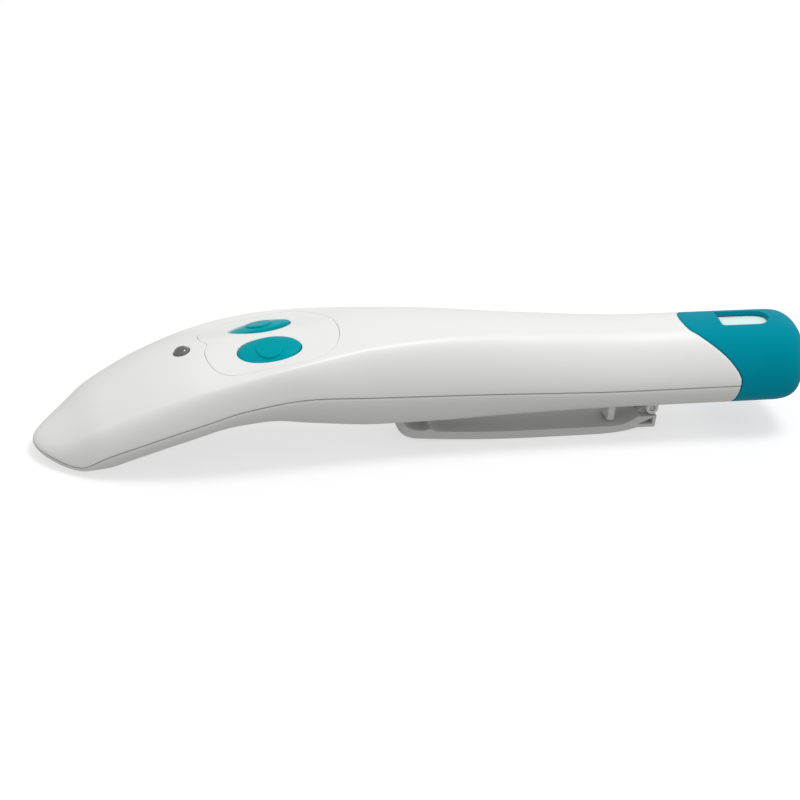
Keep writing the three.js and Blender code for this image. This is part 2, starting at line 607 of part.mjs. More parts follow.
SCREW_SPOTS.forEach(([x, y], i) =>
  add("case_screw_" + (i + 1), screwGeometry(2.4, 2, 1.1, seamHeight(x) + 5.5 - headTop(x)), steel, [x, y, headTop(x) - GAP / 2]));
BOARD_SCREW_SPOTS.forEach(([x, y], i) => {
  const screw = add("board_screw_" + (i + 1), screwGeometry(1.9, 1.3, 0.75, 5), steel, [x, y, BOARD_TOP + GAP / 2]);
  screw.rotation.x = Math.PI;
});

export default scanner;
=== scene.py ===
"""Looks for a handheld microchip scanner: a bent white wand with two oval teal keys, a smoked status
light, a teal pull-off end cap and a belt clip underneath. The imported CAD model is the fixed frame."""

import math

import bpy
import numpy as np
from bpy.props import FloatProperty, FloatVectorProperty, PointerProperty
from bpy.types import Operator, Panel, PropertyGroup
from mathutils import Matrix, Vector


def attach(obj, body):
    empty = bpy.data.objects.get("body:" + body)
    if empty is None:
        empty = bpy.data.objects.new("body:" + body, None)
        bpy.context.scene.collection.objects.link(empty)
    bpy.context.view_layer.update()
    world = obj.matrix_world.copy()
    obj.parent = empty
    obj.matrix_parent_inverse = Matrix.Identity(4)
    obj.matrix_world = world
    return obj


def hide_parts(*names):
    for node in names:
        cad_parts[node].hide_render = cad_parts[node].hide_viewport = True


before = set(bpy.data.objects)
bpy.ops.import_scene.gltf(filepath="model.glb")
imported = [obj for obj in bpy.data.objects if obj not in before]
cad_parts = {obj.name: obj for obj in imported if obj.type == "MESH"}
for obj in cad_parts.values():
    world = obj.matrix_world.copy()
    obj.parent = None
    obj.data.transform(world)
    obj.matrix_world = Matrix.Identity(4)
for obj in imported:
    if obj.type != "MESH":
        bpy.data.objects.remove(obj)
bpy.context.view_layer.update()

bl_info = {
    "name": "Microchip scanner",
    "version": (1, 0, 0),
    "blender": (4, 5, 0),
    "location": "3D View > Sidebar > Scanner",
    "description": "Builds the pieces, finishes and stage of a handheld microchip scanner",
    "category": "Object",
}

MM = 0.001

# ---------------------------------------- the wand's form, in millimetres from the nose

LENGTH = 270.0
NOSE_REACH = 20.0
TAIL_START = 256.0
TAIL_CENTRE_Z = 26.2
GAP = 0.3
CREASE = 0.16
FULLNESS = 0.8
BELLY_SHARPNESS = 2.7
KEY = {"x": 76.3, "y": 8.3, "z": 39.1, "half_length": 10.6, "half_width": 5.9, "pitch": 11.6, "roll": 18.0,
       "yaw": 4.0}
LIGHT = {"x": 48.5, "z": 35.4, "radius": 2.6, "pitch": 18.0}
FASCIA = {"front": 55.0, "rear": 101.5, "half_width": 18.2, "rear_radius": 17.5, "notch": 2.0}
WINDOW = {"front": 238.8, "rear": 252.4, "half_width": 5.0}
CELL = {"x": 211.2, "length": 44.5, "radius": 5.25, "y": 6.1, "z": 25.4}
CARRIER = {"front": 206.0, "rear": 262.2, "inset": 2.9, "bulkhead": 4.0}
CLIP = {"half_width": 7.5, "pin_x": 216.3, "pin_z": 9.0, "pin_radius": 1.0, "knuckle": 2.2}
CASE_SCREWS = [(50, 19.3), (50, -19.3), (198, 10), (198, -10)]
BOARD_SCREWS = [(98, 9.5), (186, -9.5)]
BOARD_UNDERSIDE = 26.0


def along(points, blur=5.0):
    """A smooth curve through (x, value) points, averaged over blur to each side."""
    xs, values = np.array(points, float).T
    rises = np.diff(values) / np.diff(xs)
    slopes = np.concatenate([rises[:1], np.zeros(len(xs) - 2), rises[-1:]])
    before, after = rises[:-1], rises[1:]
    same_way = before * after > 0
    total = np.where(same_way, before + after, 1)
    slopes[1:-1] = np.where(same_way, 2 * before * after / total, 0)

    def exact(x):
        i = np.clip(np.searchsorted(xs, x) - 1, 0, len(xs) - 2)
        width = xs[i + 1] - xs[i]
        t = np.clip((x - xs[i]) / width, 0, 1)
        u = 1 - t
        bend = width * t * u * (slopes[i] * u - slopes[i + 1] * t)
        return values[i] * (1 + 2 * t) * u * u + values[i + 1] * (3 - 2 * t) * t * t + bend

    taps = ((-1, 1), (-0.5, 3), (0, 4), (0.5, 3), (1, 1))
    return lambda x: sum(weight * exact(np.asarray(x, float) + shift * blur) for shift, weight in taps) / 12


half_width = along([(-10, 15.5), (12, 18.6), (20, 20.6), (35, 23.5), (56, 24.9), (87, 23.2), (112, 20.3),
                    (155, 17.8), (195, 17.3), (280, 17.3)])
crease_half_width = along([(-10, 10.5), (12, 14.6), (19, 16.9), (38, 20.6), (60, 22.3), (78, 21.3), (94, 18),
                           (111, 14.7), (141, 10.4), (169, 8.1), (210, 6.8), (280, 6.8)])
crease_height = along([(-10, 4.5), (0, 8), (12, 12.4), (19, 16.6), (38, 26.3), (60, 34.2), (78, 38.3),
                       (94, 40.8), (111, 42.3), (132, 42.9), (169, 41.2), (210, 39.4), (280, 39.4)])
crown_rise = along([(-10, 2), (20, 4.4), (46, 5.4), (62, 4.2), (77, 2.6), (92, 1.8), (115, 1.6), (140, 1.3),
                    (175, 1), (280, 1)])
crown_sharpness = along([(-10, 1), (48, 1), (70, 4), (84, 4), (108, 1), (280, 1)])
seam_height = along([(-10, 5.4), (5, 3.8), (10, 2.9), (13, 2.9), (20, 7.3), (35, 14.3), (51, 20.3),
                     (67, 25.2), (87, 27.5), (112, 25.5), (155, 23.3), (205, 21.8), (280, 21.8)], 2)
belly_height = along([(-10, 0), (21, 0), (31, 3.9), (47, 10), (62, 14.6), (75, 15.4), (90, 12.8), (115, 9.7),
                      (135, 9.5), (165, 10.6), (205, 11.6), (280, 11.6)], 3)
CAP_EDGE = np.array([(242, 4), (242.2, 12.4), (243.9, 21.5), (243.2, 25.8), (239.2, 31.1), (234.4, 35),
                     (229, 38.2), (225.2, 39.9), (219, 44.5)], float)


def catmull_rom(points, steps=12):
    """Points along a smooth curve through the given ones."""
    padded = np.vstack([2 * points[0] - points[1], points, 2 * points[-1] - points[-2]])
    drawn = []
    for i in range(len(points) - 1):
        a, b, c, d = padded[i:i + 4]
        for t in np.arange(steps) / steps:
            drawn.append(0.5 * (2 * b + (c - a) * t + (2 * a - 5 * b + 4 * c - d) * t**2
                                + (3 * b - a - 3 * c + d) * t**3))
    return np.array(drawn + [points[-1]])


CAP_WAVE = catmull_rom(CAP_EDGE)


def cap_edge(z):
    """Where the end cap meets the shells at height z."""
    return np.interp(z, CAP_WAVE[:, 1], CAP_WAVE[:, 0])


def round_off(t, sharpness):
    return np.maximum(0, 1 - np.clip(t, 0, 1) ** sharpness) ** (1 / sharpness)


def scaled(x, inset, y, z):
    """A section's point drawn in towards the nose or the tail."""
    seam = seam_height(np.minimum(x, TAIL_START))
    tail = (x - TAIL_START) / (LENGTH - inset - TAIL_START)
    in_tail = tail > 1e-9
    scale = np.where(in_tail, round_off(tail, 3.3), round_off(1 - (x - inset) / NOSE_REACH, 1.9))
    pivot = np.where(in_tail, TAIL_CENTRE_Z, seam)
    return y * scale, pivot + (z - pivot) * scale


def over_crown(x, inset, s):
    """The section's upper half at x, from s = -1 at the left seam over the crown to 1 at the right seam."""
    x, inset, s = np.broadcast_arrays(np.asarray(x, float), inset, s)
    at = np.minimum(x, TAIL_START)
    w, h = half_width(at) - inset, crease_half_width(at) - inset / 2
    seam, crease = seam_height(at), crease_height(at) - inset
    rise, sharp = crown_rise(at), crown_sharpness(at)
    edge = 0.85
    edge_slope = 2 * edge * rise * sharp * (1 - edge**2) ** (sharp - 1) / h
    corner = crease - (w - h) * (edge_slope + CREASE)
    t = np.clip(np.abs(s) * 2, 0, 1)
    crown_y, crown_z = h * t, crease + rise * (1 - t * t) ** sharp
    t = np.clip(np.abs(s) * 2 - 1, 0, 1)
    a, b, c = (1 - t) ** 2, 2 * FULLNESS * t * (1 - t), t * t
    side_y = (a * h + (b + c) * w) / (a + b + c)
    side_z = (a * crease + b * corner + c * seam) / (a + b + c)
    on_crown = np.abs(s) <= 0.5
    y = np.where(on_crown, crown_y, side_y) * np.sign(s)
    return scaled(x, inset, y, np.where(on_crown, crown_z, side_z))


def under_belly(x, inset, s):
    """The section's lower half at x, from s = -1 at the left seam under the belly to 1 at the right seam."""
    x, inset, s = np.broadcast_arrays(np.asarray(x, float), inset, s)
    at = np.minimum(x, TAIL_START)
    w, seam, belly = half_width(at) - inset, seam_height(at), belly_height(at) + inset
    a = (1 - np.abs(s)) * math.pi / 2
    power = 2 / BELLY_SHARPNESS
    y = w * np.maximum(0, np.cos(a)) ** power * np.sign(s)
    return scaled(x, inset, y, seam - (seam - belly) * np.sin(a) ** power)


def surface_z(half, x, y, inset=0.0):
    """The height of the wand's surface at each (x, y). half is the section that it belongs to."""
    s = np.linspace(0, 1, 161)
    across, height = half(np.ravel(x)[:, None], inset, s[None, :])
    found = [np.interp(abs(b), ys, zs) for b, ys, zs in zip(np.ravel(y), across, height)]
    return np.reshape(found, np.shape(x))


def crown_z(x, y, inset=0.0):
    return surface_z(over_crown, x, y, inset)


def belly_z(x, y):
    return surface_z(under_belly, x, y)


# ---------------------------------------- making pieces


def metres(points):
    """Millimetres from the nose into the frame's metres."""
    return (np.asarray(points, float) - (LENGTH / 2, 0, 0)) * MM


def seat(x, y, z, pitch=0.0, roll=0.0, yaw=0.0):
    """The matrix that puts a piece drawn about its own axis, in metres, at a place in the wand."""
    turn = Matrix.Rotation(math.radians(-pitch), 4, "Y") @ Matrix.Rotation(math.radians(roll), 4, "X")
    turn = turn @ Matrix.Rotation(math.radians(yaw), 4, "Z")
    return Matrix.Translation(metres((x, y, z))) @ turn


def key_seat(side):
    return seat(KEY["x"], side * KEY["y"], KEY["z"], KEY["pitch"], -side * KEY["roll"], side * KEY["yaw"])


def deselect():
    if bpy.context.mode != "OBJECT":
        bpy.ops.object.mode_set(mode="OBJECT")
    bpy.ops.object.select_all(action="DESELECT")


def pick(piece):
    deselect()
    piece.select_set(True)
    bpy.context.view_layer.objects.active = piece


def new_piece(name):
    piece = bpy.context.active_object
    piece.name = piece.data.name = name
    return piece


def edit_all(*steps):
    """Runs the steps in edit mode on everything in the active mesh."""
    bpy.ops.object.mode_set(mode="EDIT")
    bpy.ops.mesh.select_all(action="SELECT")
    for step in steps:
        step()
    bpy.ops.object.mode_set(mode="OBJECT")


def face_out():
    bpy.ops.mesh.select_all(action="SELECT")
    bpy.ops.mesh.normals_make_consistent(inside=False)


def merge_and_face_out():
    bpy.ops.mesh.remove_doubles(threshold=2e-6)
    bpy.ops.mesh.dissolve_degenerate(threshold=1e-6)
    face_out()


def points_of(piece):
    """Where the vertices of a piece are, in metres."""
    flat = np.empty(len(piece.data.vertices) * 3)
    piece.data.vertices.foreach_get("co", flat)
    return flat.reshape(-1, 3)


def move_points(piece, points):
    """Moves the vertices of a piece to points in millimetres from the nose."""
    piece.data.vertices.foreach_set("co", metres(points).ravel())


def sheet_through(name, points):
    """A grid bent through rows of points in millimetres, joined where they meet."""
    rows, columns = points.shape[:2]
    deselect()
    bpy.ops.mesh.primitive_grid_add(x_subdivisions=columns - 1, y_subdivisions=rows - 1, size=1)
    piece = new_piece(name)
    flat = points_of(piece)
    column = np.rint((flat[:, 0] + 0.5) * (columns - 1)).astype(int)
    row = np.rint((flat[:, 1] + 0.5) * (rows - 1)).astype(int)
    move_points(piece, points[row, column])
    edit_all(merge_and_face_out)
    return piece


def turned(name, profile, sides=48):
    """A round piece about Z, extruded and resized through (radius, height) steps in millimetres."""
    deselect()
    radius, height = profile[0]
    bpy.ops.mesh.primitive_circle_add(vertices=sides, radius=radius * MM, fill_type="NGON")
    piece = new_piece(name)
    bpy.ops.object.mode_set(mode="EDIT")
    bpy.ops.mesh.select_all(action="SELECT")
    bpy.ops.transform.translate(value=(0, 0, height * MM))
    for next_radius, next_height in profile[1:]:
        rise = {"value": (0, 0, (next_height - height) * MM)}
        bpy.ops.mesh.extrude_region_move(TRANSFORM_OT_translate=rise)
        grow = next_radius / radius
        bpy.ops.transform.resize(value=(grow, grow, 1), center_override=(0, 0, next_height * MM))
        radius, height = next_radius, next_height
    face_out()
    bpy.ops.object.mode_set(mode="OBJECT")
    return piece


def placed(piece, matrix):
    piece.data.transform(matrix)
    return piece


def prism(name, outline, sweep):
    """A flat outline of points in millimetres, extruded by the vector sweep."""
    deselect()
    bpy.ops.mesh.primitive_circle_add(vertices=len(outline), radius=1, fill_type="NGON")
    piece = new_piece(name)
    move_points(piece, outline)
    move = {"value": Vector(sweep) * MM}
    edit_all(lambda: bpy.ops.mesh.extrude_region_move(TRANSFORM_OT_translate=move), face_out)
    return piece


def apply_modifier(piece, kind, **settings):
    pick(piece)
    modifier = piece.modifiers.new(kind.title(), kind)
    for key, value in settings.items():
        setattr(modifier, key, value)
    bpy.ops.object.modifier_apply(modifier=modifier.name)
    return piece


def combine(piece, operation, *tools):
    """Cuts piece with the tools, or joins them to it, and removes them. Where faces only just touch, the
    exact solver can lose most of a piece, so the other one is tried then."""
    for tool in tools:
        before = piece.data.copy()
        for solver in ("EXACT", "FAST"):
            apply_modifier(piece, "BOOLEAN", operation=operation, object=tool, solver=solver)
            if len(piece.data.vertices) > 0.7 * len(before.vertices):
                break
            piece.data = before.copy()
        else:
            raise RuntimeError(f"{piece.name} was lost when {tool.name} was combined with it")
        bpy.data.meshes.remove(before)
        bpy.data.objects.remove(tool)
    return piece


def soften(piece, width, angle=40, segments=2):
    return apply_modifier(piece, "BEVEL", width=width * MM, segments=segments, limit_method="ANGLE",
                          angle_limit=math.radians(angle), use_clamp_overlap=True, harden_normals=False)


def finished(piece, body, slot, node, finish=None, angle=32):
    """A smoothed piece that rides on its body, wears a finish, its slot's own unless one is named, and
    stands for its CAD node."""
    pick(piece)
    bpy.ops.object.shade_smooth_by_angle(angle=math.radians(angle))
    piece.data.materials.clear()
    piece.data.materials.append(finish_for(finish or slot))
    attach(piece, body)
    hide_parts(node)


def copy_of(piece, name):
    twin = piece.copy()
    twin.data = piece.data.copy()
    twin.name = twin.data.name = name
    bpy.context.scene.collection.objects.link(twin)
    return twin


# ---------------------------------------- forms that follow the wand's surface


def on_surface(matrix, points, inset=0.0):
    """Points (across, along) in a tilted plane, dropped on to the wand's upper surface along its normal."""
    origin = np.array(matrix.translation) / MM + (LENGTH / 2, 0, 0)
    axes = np.array(matrix.to_3x3()).T
    base = origin + points[..., :1] * axes[0] + points[..., 1:2] * axes[1]
    reach = np.zeros(points.shape[:-1] + (1,))
    for _ in range(7):
        place = base + reach * axes[2]
        off = crown_z(place[..., 0], place[..., 1], inset) - place[..., 2]
        reach = reach + off[..., None] / axes[2][2]
    return base + reach * axes[2], axes[2]


def outward(outline):
    """The unit normals of a closed outline that runs anticlockwise."""
    ahead = np.roll(outline, -1, 0) - np.roll(outline, 1, 0)
    ahead /= np.linalg.norm(ahead, axis=1)[:, None]
    return np.stack([ahead[:, 1], -ahead[:, 0]], 1)


def patch(name, matrix, outline, steps, inset=0.0, heart=(0, 0)):
    """A closed form over an outline. Each step is (share, offset, height): the outline shrunk to a share of
    itself about the heart, grown by an offset, at a height over the wand's surface."""
    loop = np.vstack([outline, outline[:1]])
    normals = np.vstack([outward(outline), outward(outline)[:1]])
    rows = []
    for share, offset, height in steps:
        flat = np.array(heart) + (loop + normals * offset - heart) * share
        surface, up = on_surface(matrix, flat, inset)
        rows.append(surface + up * height)
    return sheet_through(name, np.array(rows))


def flared_cutter(matrix, outline, depth, flare, heart=(0, 0)):
    """A cutter whose wall opens out in a quarter round where it meets the surface."""
    turn = np.linspace(0, math.pi / 2, 6)
    lip = [(1, flare * (1 - math.cos(a)), -flare * (1 - math.sin(a)) + 0.004) for a in turn]
    floor = [(0, 0, -depth), (0.5, 0, -depth), (1, 0, -depth)]
    steps = [*floor, *lip, (1, flare + 0.05, 4), (0.5, 0, 4), (0, 0, 4)]
    return patch("cutter", matrix, outline, steps, heart=heart)


def ellipse(a, b, sides=72):
    turn = np.arange(sides) / sides * 2 * math.pi
    return np.stack([a * np.cos(turn), b * np.sin(turn)], 1)


def resampled(points, count):
    """A closed outline redrawn with evenly spaced points."""
    loop = np.vstack([points, points[:1]])
    run = np.concatenate([[0], np.cumsum(np.linalg.norm(np.diff(loop, axis=0), axis=1))])
    at = np.arange(count) / count * run[-1]
    return np.stack([np.interp(at, run, loop[:, i]) for i in range(2)], 1)


def fascia_outline(grow):
    """The control fascia from above: a round rear end and a front end with two lobes."""
    width, radius = FASCIA["half_width"] + grow, FASCIA["rear_radius"]
    turn = np.linspace(-math.pi / 2, math.pi / 2, 60)
    rear_x = FASCIA["rear"] - radius + (radius + grow) * np.cos(turn)
    rear_y = width * np.abs(np.sin(turn)) ** 0.9 * np.sign(np.sin(turn))
    y = width * np.cos(np.linspace(0, math.pi, 90)[1:-1])
    corner = 12 * (1 - np.sqrt(1 - np.minimum(1, np.abs(y) / width) ** 4))
    front_x = FASCIA["front"] - grow + corner + FASCIA["notch"] * np.exp(-((y / 3) ** 2))
    drawn = np.stack([np.concatenate([rear_x, front_x]) - KEY["x"], np.concatenate([rear_y, y])], 1)
    return resampled(drawn, 144)


def window_outline(grow):
    """The cap's window from above: square at the front and round at the rear."""
    half = WINDOW["half_width"] + grow
    turn = np.linspace(-math.pi / 2, math.pi / 2, 25)
    rear = np.stack([WINDOW["rear"] + half * np.cos(turn), half * np.sin(turn)], 1)
    r = 1.0
    turn = np.linspace(0, math.pi / 2, 6)
    x = WINDOW["front"] - grow + r
    left = np.stack([x - r * np.sin(turn), half - r + r * np.cos(turn)], 1)
    right = np.stack([x - r * np.cos(turn), -half + r - r * np.sin(turn)], 1)
    return resampled(np.vstack([rear, left, right]), 96) - (WINDOW_HEART, 0)


WINDOW_HEART = 246.0
WINDOW_SEAT = seat(WINDOW_HEART, 0, 38)
FASCIA_SEAT = seat(KEY["x"], 0, KEY["z"], KEY["pitch"])


def shell(name, half, side, wall, lip):
    """One half of the wand as a closed shell. half is its section, and side is 1 above the seam, -1 below."""
    turn = np.linspace(0, math.pi / 2, 5)
    near, count = 0.94, 90
    blank = np.zeros(count)
    around = np.concatenate([-np.ones(5), np.linspace(-near, near, count), np.ones(5)])
    s = np.concatenate([around, np.linspace(1, -1, len(around))])
    on_rim = np.concatenate([np.ones(5), blank, np.ones(5), np.zeros(len(around))]) > 0
    turned_by = np.concatenate([turn[::-1], blank, turn, np.zeros(len(around))])
    inside = np.arange(len(s)) >= len(around)

    def section(x, inset):
        depth = np.where(inside, wall, inset)
        seam = seam_height(x)

        def apart(z):
            return z + side * GAP / 2 * (1 - np.clip(np.abs(z - seam) / 3, 0, 1))

        y, z = half(x, depth, s)
        z = apart(z)
        beside = apart(half(x, depth, np.sign(s) * near)[1])
        r = np.where(on_rim, np.minimum(lip, 0.7 * np.abs(beside - z)), 0)
        y = y - np.sign(s) * r * (1 - np.cos(turned_by))
        return np.stack([x, y, z + side * r * (1 - np.sin(turned_by))], -1)

    reach = NOSE_REACH * (1 - np.maximum(0, np.cos(np.linspace(0, math.pi / 2, 27))) ** (2 / 1.9))[:, None]
    start = NOSE_REACH + np.where(inside, wall, 0)
    ends = cap_edge(section(np.full(len(s), 230.0), 0.0)[:, 2]) - GAP / 2
    share = np.linspace(0, 1, 126)[1:, None]
    nose = section(start - NOSE_REACH + reach, 0.0)
    straight = section(start + (ends - lip - start) * share, 0.0)
    rolled = section(ends - lip + lip * np.sin(turn[1:, None]), lip * (1 - np.cos(turn[1:, None])))
    zipped = (rolled[-1:] + rolled[-1:, ::-1]) / 2
    points = np.concatenate([nose, straight, rolled, zipped])
    return sheet_through(name, np.concatenate([points, points[:, :1]], 1))


def full_ring(x, inset, s):
    """The whole section at x, for s from 0 at the left seam over the crown to 1 and under the belly to 2."""
    upper = over_crown(x, inset, np.clip(2 * s - 1, -1, 1))
    lower = under_belly(x, inset, np.clip(3 - 2 * s, -1, 1))
    y, z = np.where(s <= 1, upper, lower)
    return np.stack([np.broadcast_to(x, y.shape), y, z], -1)


def end_cap_form(name, wall, lip):
    """The cap as a closed cup: from the middle of its floor forwards inside, round the lip, back outside."""
    s = np.concatenate([np.linspace(0, 1, 97), np.linspace(1, 2, 65)[1:]])
    turn = np.linspace(0, math.pi / 2, 5)[:, None]
    tail = np.sin(np.linspace(0, math.pi / 2, 22)) ** (2 / 3.3)
    share = np.linspace(0, 1, 16)[1:-1, None]

    def edge(inset):
        return cap_edge(full_ring(np.full(len(s), 250.0), inset, s)[:, 2]) + GAP / 2

    def end_rows(inset):
        x = TAIL_START + (LENGTH - inset - TAIL_START) * tail[:, None]
        return full_ring(x * np.ones(len(s)), inset, s)

    inner, outer = edge(wall), edge(0.0)
    inner_side = full_ring(inner + (TAIL_START - inner) * np.linspace(0, 1, 16)[:-1, None], wall, s)
    lip_rows = full_ring(outer + lip * (1 - np.sin(turn[::-1])), lip * (1 - np.cos(turn[::-1])), s)
    outer_side = full_ring(outer + lip + (TAIL_START - outer - lip) * share, 0.0, s)
    rows = [end_rows(wall)[::-1], inner_side[::-1], lip_rows, outer_side, end_rows(0.0)]
    return sheet_through(name, np.concatenate(rows))


def barrel(name, inset, x0, x1):
    """A solid stretch of the wand's section with flat ends."""
    s = np.concatenate([np.linspace(0, 1, 65), np.linspace(1, 2, 49)[1:]])
    x = np.concatenate([np.linspace(x0, min(x1, TAIL_START), 12), np.linspace(TAIL_START, x1, 10)[1:]])
    rings = full_ring(x[:, None] * np.ones(len(s)), inset, s)
    ends = [np.broadcast_to((end, 0, TAIL_CENTRE_Z), rings[:1].shape) for end in (x0, x1)]
    return sheet_through(name, np.concatenate([ends[0], rings, ends[1]]))


def post(x, y, bottom, top, radius, sides=32):
    """An upright round post. bottom and top are heights, or functions of (x, y) that give them."""
    piece = turned("post", [(radius, 0), (radius, 1)], sides)
    co = points_of(piece) / MM + (x, y, 0)
    low = bottom(co[:, 0], co[:, 1]) if callable(bottom) else bottom
    high = top(co[:, 0], co[:, 1]) if callable(top) else top
    co[:, 2] = np.where(co[:, 2] > 0.5, high, low)
    move_points(piece, co)
    return piece


def slab(x0, x1, y0, y1, z0, z1):
    return prism("slab", [(x0, y0, z0), (x1, y0, z0), (x1, y1, z0), (x0, y1, z0)], (0, 0, z1 - z0))


def across(name, profile, y0, y1):
    """An outline of (x, z) points, extruded across the wand from y0 to y1."""
    return prism(name, [(x, y0, z) for x, z in profile], (0, y1 - y0, 0))


def circle(x, z, radius, sides=32):
    turn = np.arange(sides) / sides * 2 * math.pi
    return [(x + radius * math.cos(a), z + radius * math.sin(a)) for a in turn]


def quadratic(*stations):
    """A line through stations. One of four numbers is a curve's pull point and its end."""
    drawn = [stations[0]]
    for station in stations[1:]:
        if len(station) == 2:
            drawn.append(station)
            continue
        (ax, az), (bx, bz, cx, cz) = drawn[-1], station
        for t in np.arange(1, 9) / 8:
            u = 1 - t
            drawn.append((u * u * ax + 2 * u * t * bx + t * t * cx, u * u * az + 2 * u * t * bz + t * t * cz))
    return drawn


# ---------------------------------------- finishes


class Signal:
    """A shader value that ordinary arithmetic can be written with."""

    def __init__(self, finish, socket):
        self.finish = finish
        self.socket = socket

    def _math(self, operation, first, second, clamp=False):
        settings = {"operation": operation, "use_clamp": clamp}
        return self.finish.node("ShaderNodeMath", settings, {0: first, 1: second})

    def __add__(self, other):
        return self._math("ADD", self, other)

    def __sub__(self, other):
        return self._math("SUBTRACT", self, other)

    def __rsub__(self, other):
        return self._math("SUBTRACT", other, self)

    def __mul__(self, other):
        return self._math("MULTIPLY", self, other)

    def __pow__(self, other):
        return self._math("POWER", self, other)

    __radd__ = __add__
    __rmul__ = __mul__

    def clamped(self):
        return self._math("ADD", self, 0.0, clamp=True)

    def sine(self):
        return self._math("SINE", self, 0.0)


class Finish:
    """A procedural finish, whose nodes are added one expression at a time."""

    def __init__(self, name):
        self.material = bpy.data.materials.new(name)
        self.material.use_nodes = True
        self.tree = self.material.node_tree
        self.shader = self.tree.nodes["Principled BSDF"]
        self.place = self.node("ShaderNodeTexCoord", output="Object")

    def node(self, kind, settings=None, inputs=None, output=0):
        made = self.tree.nodes.new(kind)
        for key, value in (settings or {}).items():
            setattr(made, key, value)
        for key, value in (inputs or {}).items():
            self.feed(made.inputs[key], value)
        return Signal(self, made.outputs[output])

    def feed(self, socket, value):
        if isinstance(value, Signal):
            self.tree.links.new(value.socket, socket)
        else:
            socket.default_value = value

    def set(self, **sockets):
        for key, value in sockets.items():
            self.feed(self.shader.inputs[key.replace("_", " ").title().replace("Ior", "IOR")], value)

    def noise(self, scale, detail=2.0, place=None):
        sockets = {"Vector": place or self.place, "Scale": scale, "Detail": detail}
        return self.node("ShaderNodeTexNoise", None, sockets)

    def stretched(self, x, y, z):
        return self.node("ShaderNodeMapping", None, {"Vector": self.place, "Scale": (x, y, z)})

    def blend(self, share, first, second):
        """A colour between two, by a share from 0 to 1."""
        return self.node("ShaderNodeMix", {"data_type": "RGBA"}, {0: share, 6: first, 7: second}, output=2)

    def toward(self, direction):
        """How far a point lies along a direction, in metres."""
        settings = {"operation": "DOT_PRODUCT"}
        return self.node("ShaderNodeVectorMath", settings, {0: self.place, 1: direction}, output="Value")

    def worn_edges(self, start=0.53, gain=9.0):
        point = self.node("ShaderNodeNewGeometry", output="Pointiness")
        return ((point - start) * gain).clamped()

    def bump(self, height, strength, depth):
        sockets = {"Height": height, "Strength": strength, "Distance": depth * MM}
        self.set(normal=self.node("ShaderNodeBump", None, sockets))


def rgba(colour, level=1.0):
    return tuple(min(1.0, c * level) for c in colour[:3]) + (1.0,)


def moulded(name, colour, roughness, grain, depth, mottle=0.03, gloss=0.45, tint=(1, 1, 1)):
    """Injection-moulded plastic: a fine spark-eroded skin, faint flow mottling, slightly polished edges."""
    finish = Finish(name)
    cloud = finish.noise(22, 3)
    flow = finish.noise(1.0, 2, finish.stretched(14, 60, 60))
    skin = finish.noise(grain, 2)
    wear = finish.worn_edges()
    mixed = (cloud * 0.6 + flow * 0.4).clamped()
    body = finish.blend(mixed, rgba(colour, 1 - mottle), rgba(colour, 1 + mottle))
    finish.set(base_color=finish.blend(wear * 0.35, body, rgba(colour, 1.12)),
               roughness=(cloud * 0.1 + skin * 0.08 + (roughness - 0.09) - wear * 0.08).clamped(),
               specular_ior_level=gloss, specular_tint=rgba(tint))
    finish.bump(skin, 0.35, depth)
    return finish.material


def soft_touch(name, colour):
    """Matt, slightly rubbery paint over plastic. Its edges are painted lighter: partly rubbed wear, partly a
    painted sheen.
    """
    finish = Finish(name)
    rubbed = finish.noise(45, 4)
    fine = finish.noise(3800, 2)
    wear = finish.worn_edges(0.54, 8)
    body = finish.blend(rubbed, rgba(colour, 0.94), rgba(colour, 1.06))
    # Lighter edges: partly rubbed wear and partly a painted sheen; the roughness stays the same there.
    finish.set(base_color=finish.blend(wear * 0.4, body, rgba(colour, 1.3)),
               roughness=(0.42 + rubbed * 0.12 + fine * 0.06).clamped(),
               specular_ior_level=0.08, specular_tint=rgba((0.0, 0.8, 1.0)))
    finish.bump(fine, 0.3, 0.02)
    return finish.material


def smoked_dome(name, colour):
    """A dark clear dome: glossy, with a painted reflection that makes it greyer towards its rim, and faint
    moulding swirls.
    """
    finish = Finish(name)
    pitch = math.radians(LIGHT["pitch"])
    axis = Vector((-math.sin(pitch), 0, math.cos(pitch)))
    base = float(axis.dot(Vector(metres((LIGHT["x"], 0, LIGHT["z"])))))
    # Painted reflection: the dome's colour is made greyer towards its rim, where a clear dome shows reflected
    # light.
    painted_rim_reflection = (1 - (finish.toward(tuple(axis)) - base) * (1 / (1.8 * MM))).clamped()
    swirl = finish.noise(700, 3)
    # The share mixes the painted rim reflection with the real moulding swirls.
    rim_reflection_and_swirl = (painted_rim_reflection * 0.7 + swirl * 0.3).clamped()
    finish.set(base_color=finish.blend(rim_reflection_and_swirl, rgba(colour, 0.6), rgba(colour, 1.7)),
               roughness=(0.04 + swirl * 0.08), coat_weight=0.6, coat_roughness=0.04, ior=1.5)
    finish.bump(swirl, 0.08, 0.02)
    return finish.material


def steel(name, colour, roughness=0.28):
    """Plated steel with drawn lines, small stains and bright edges."""
    finish = Finish(name)
    drawn = finish.noise(1.0, 3, finish.stretched(350, 5200, 5200))
    stain = finish.noise(260, 4)
    wear = finish.worn_edges(0.52, 8)
    body = finish.blend(stain, rgba(colour, 0.82), rgba(colour, 1.1))
    finish.set(base_color=finish.blend(wear * 0.5, body, rgba(colour, 1.35)), metallic=1.0,
               roughness=(roughness + drawn * 0.14 + stain * 0.08 - wear * 0.1).clamped())
    finish.bump(drawn, 0.25, 0.015)
    return finish.material


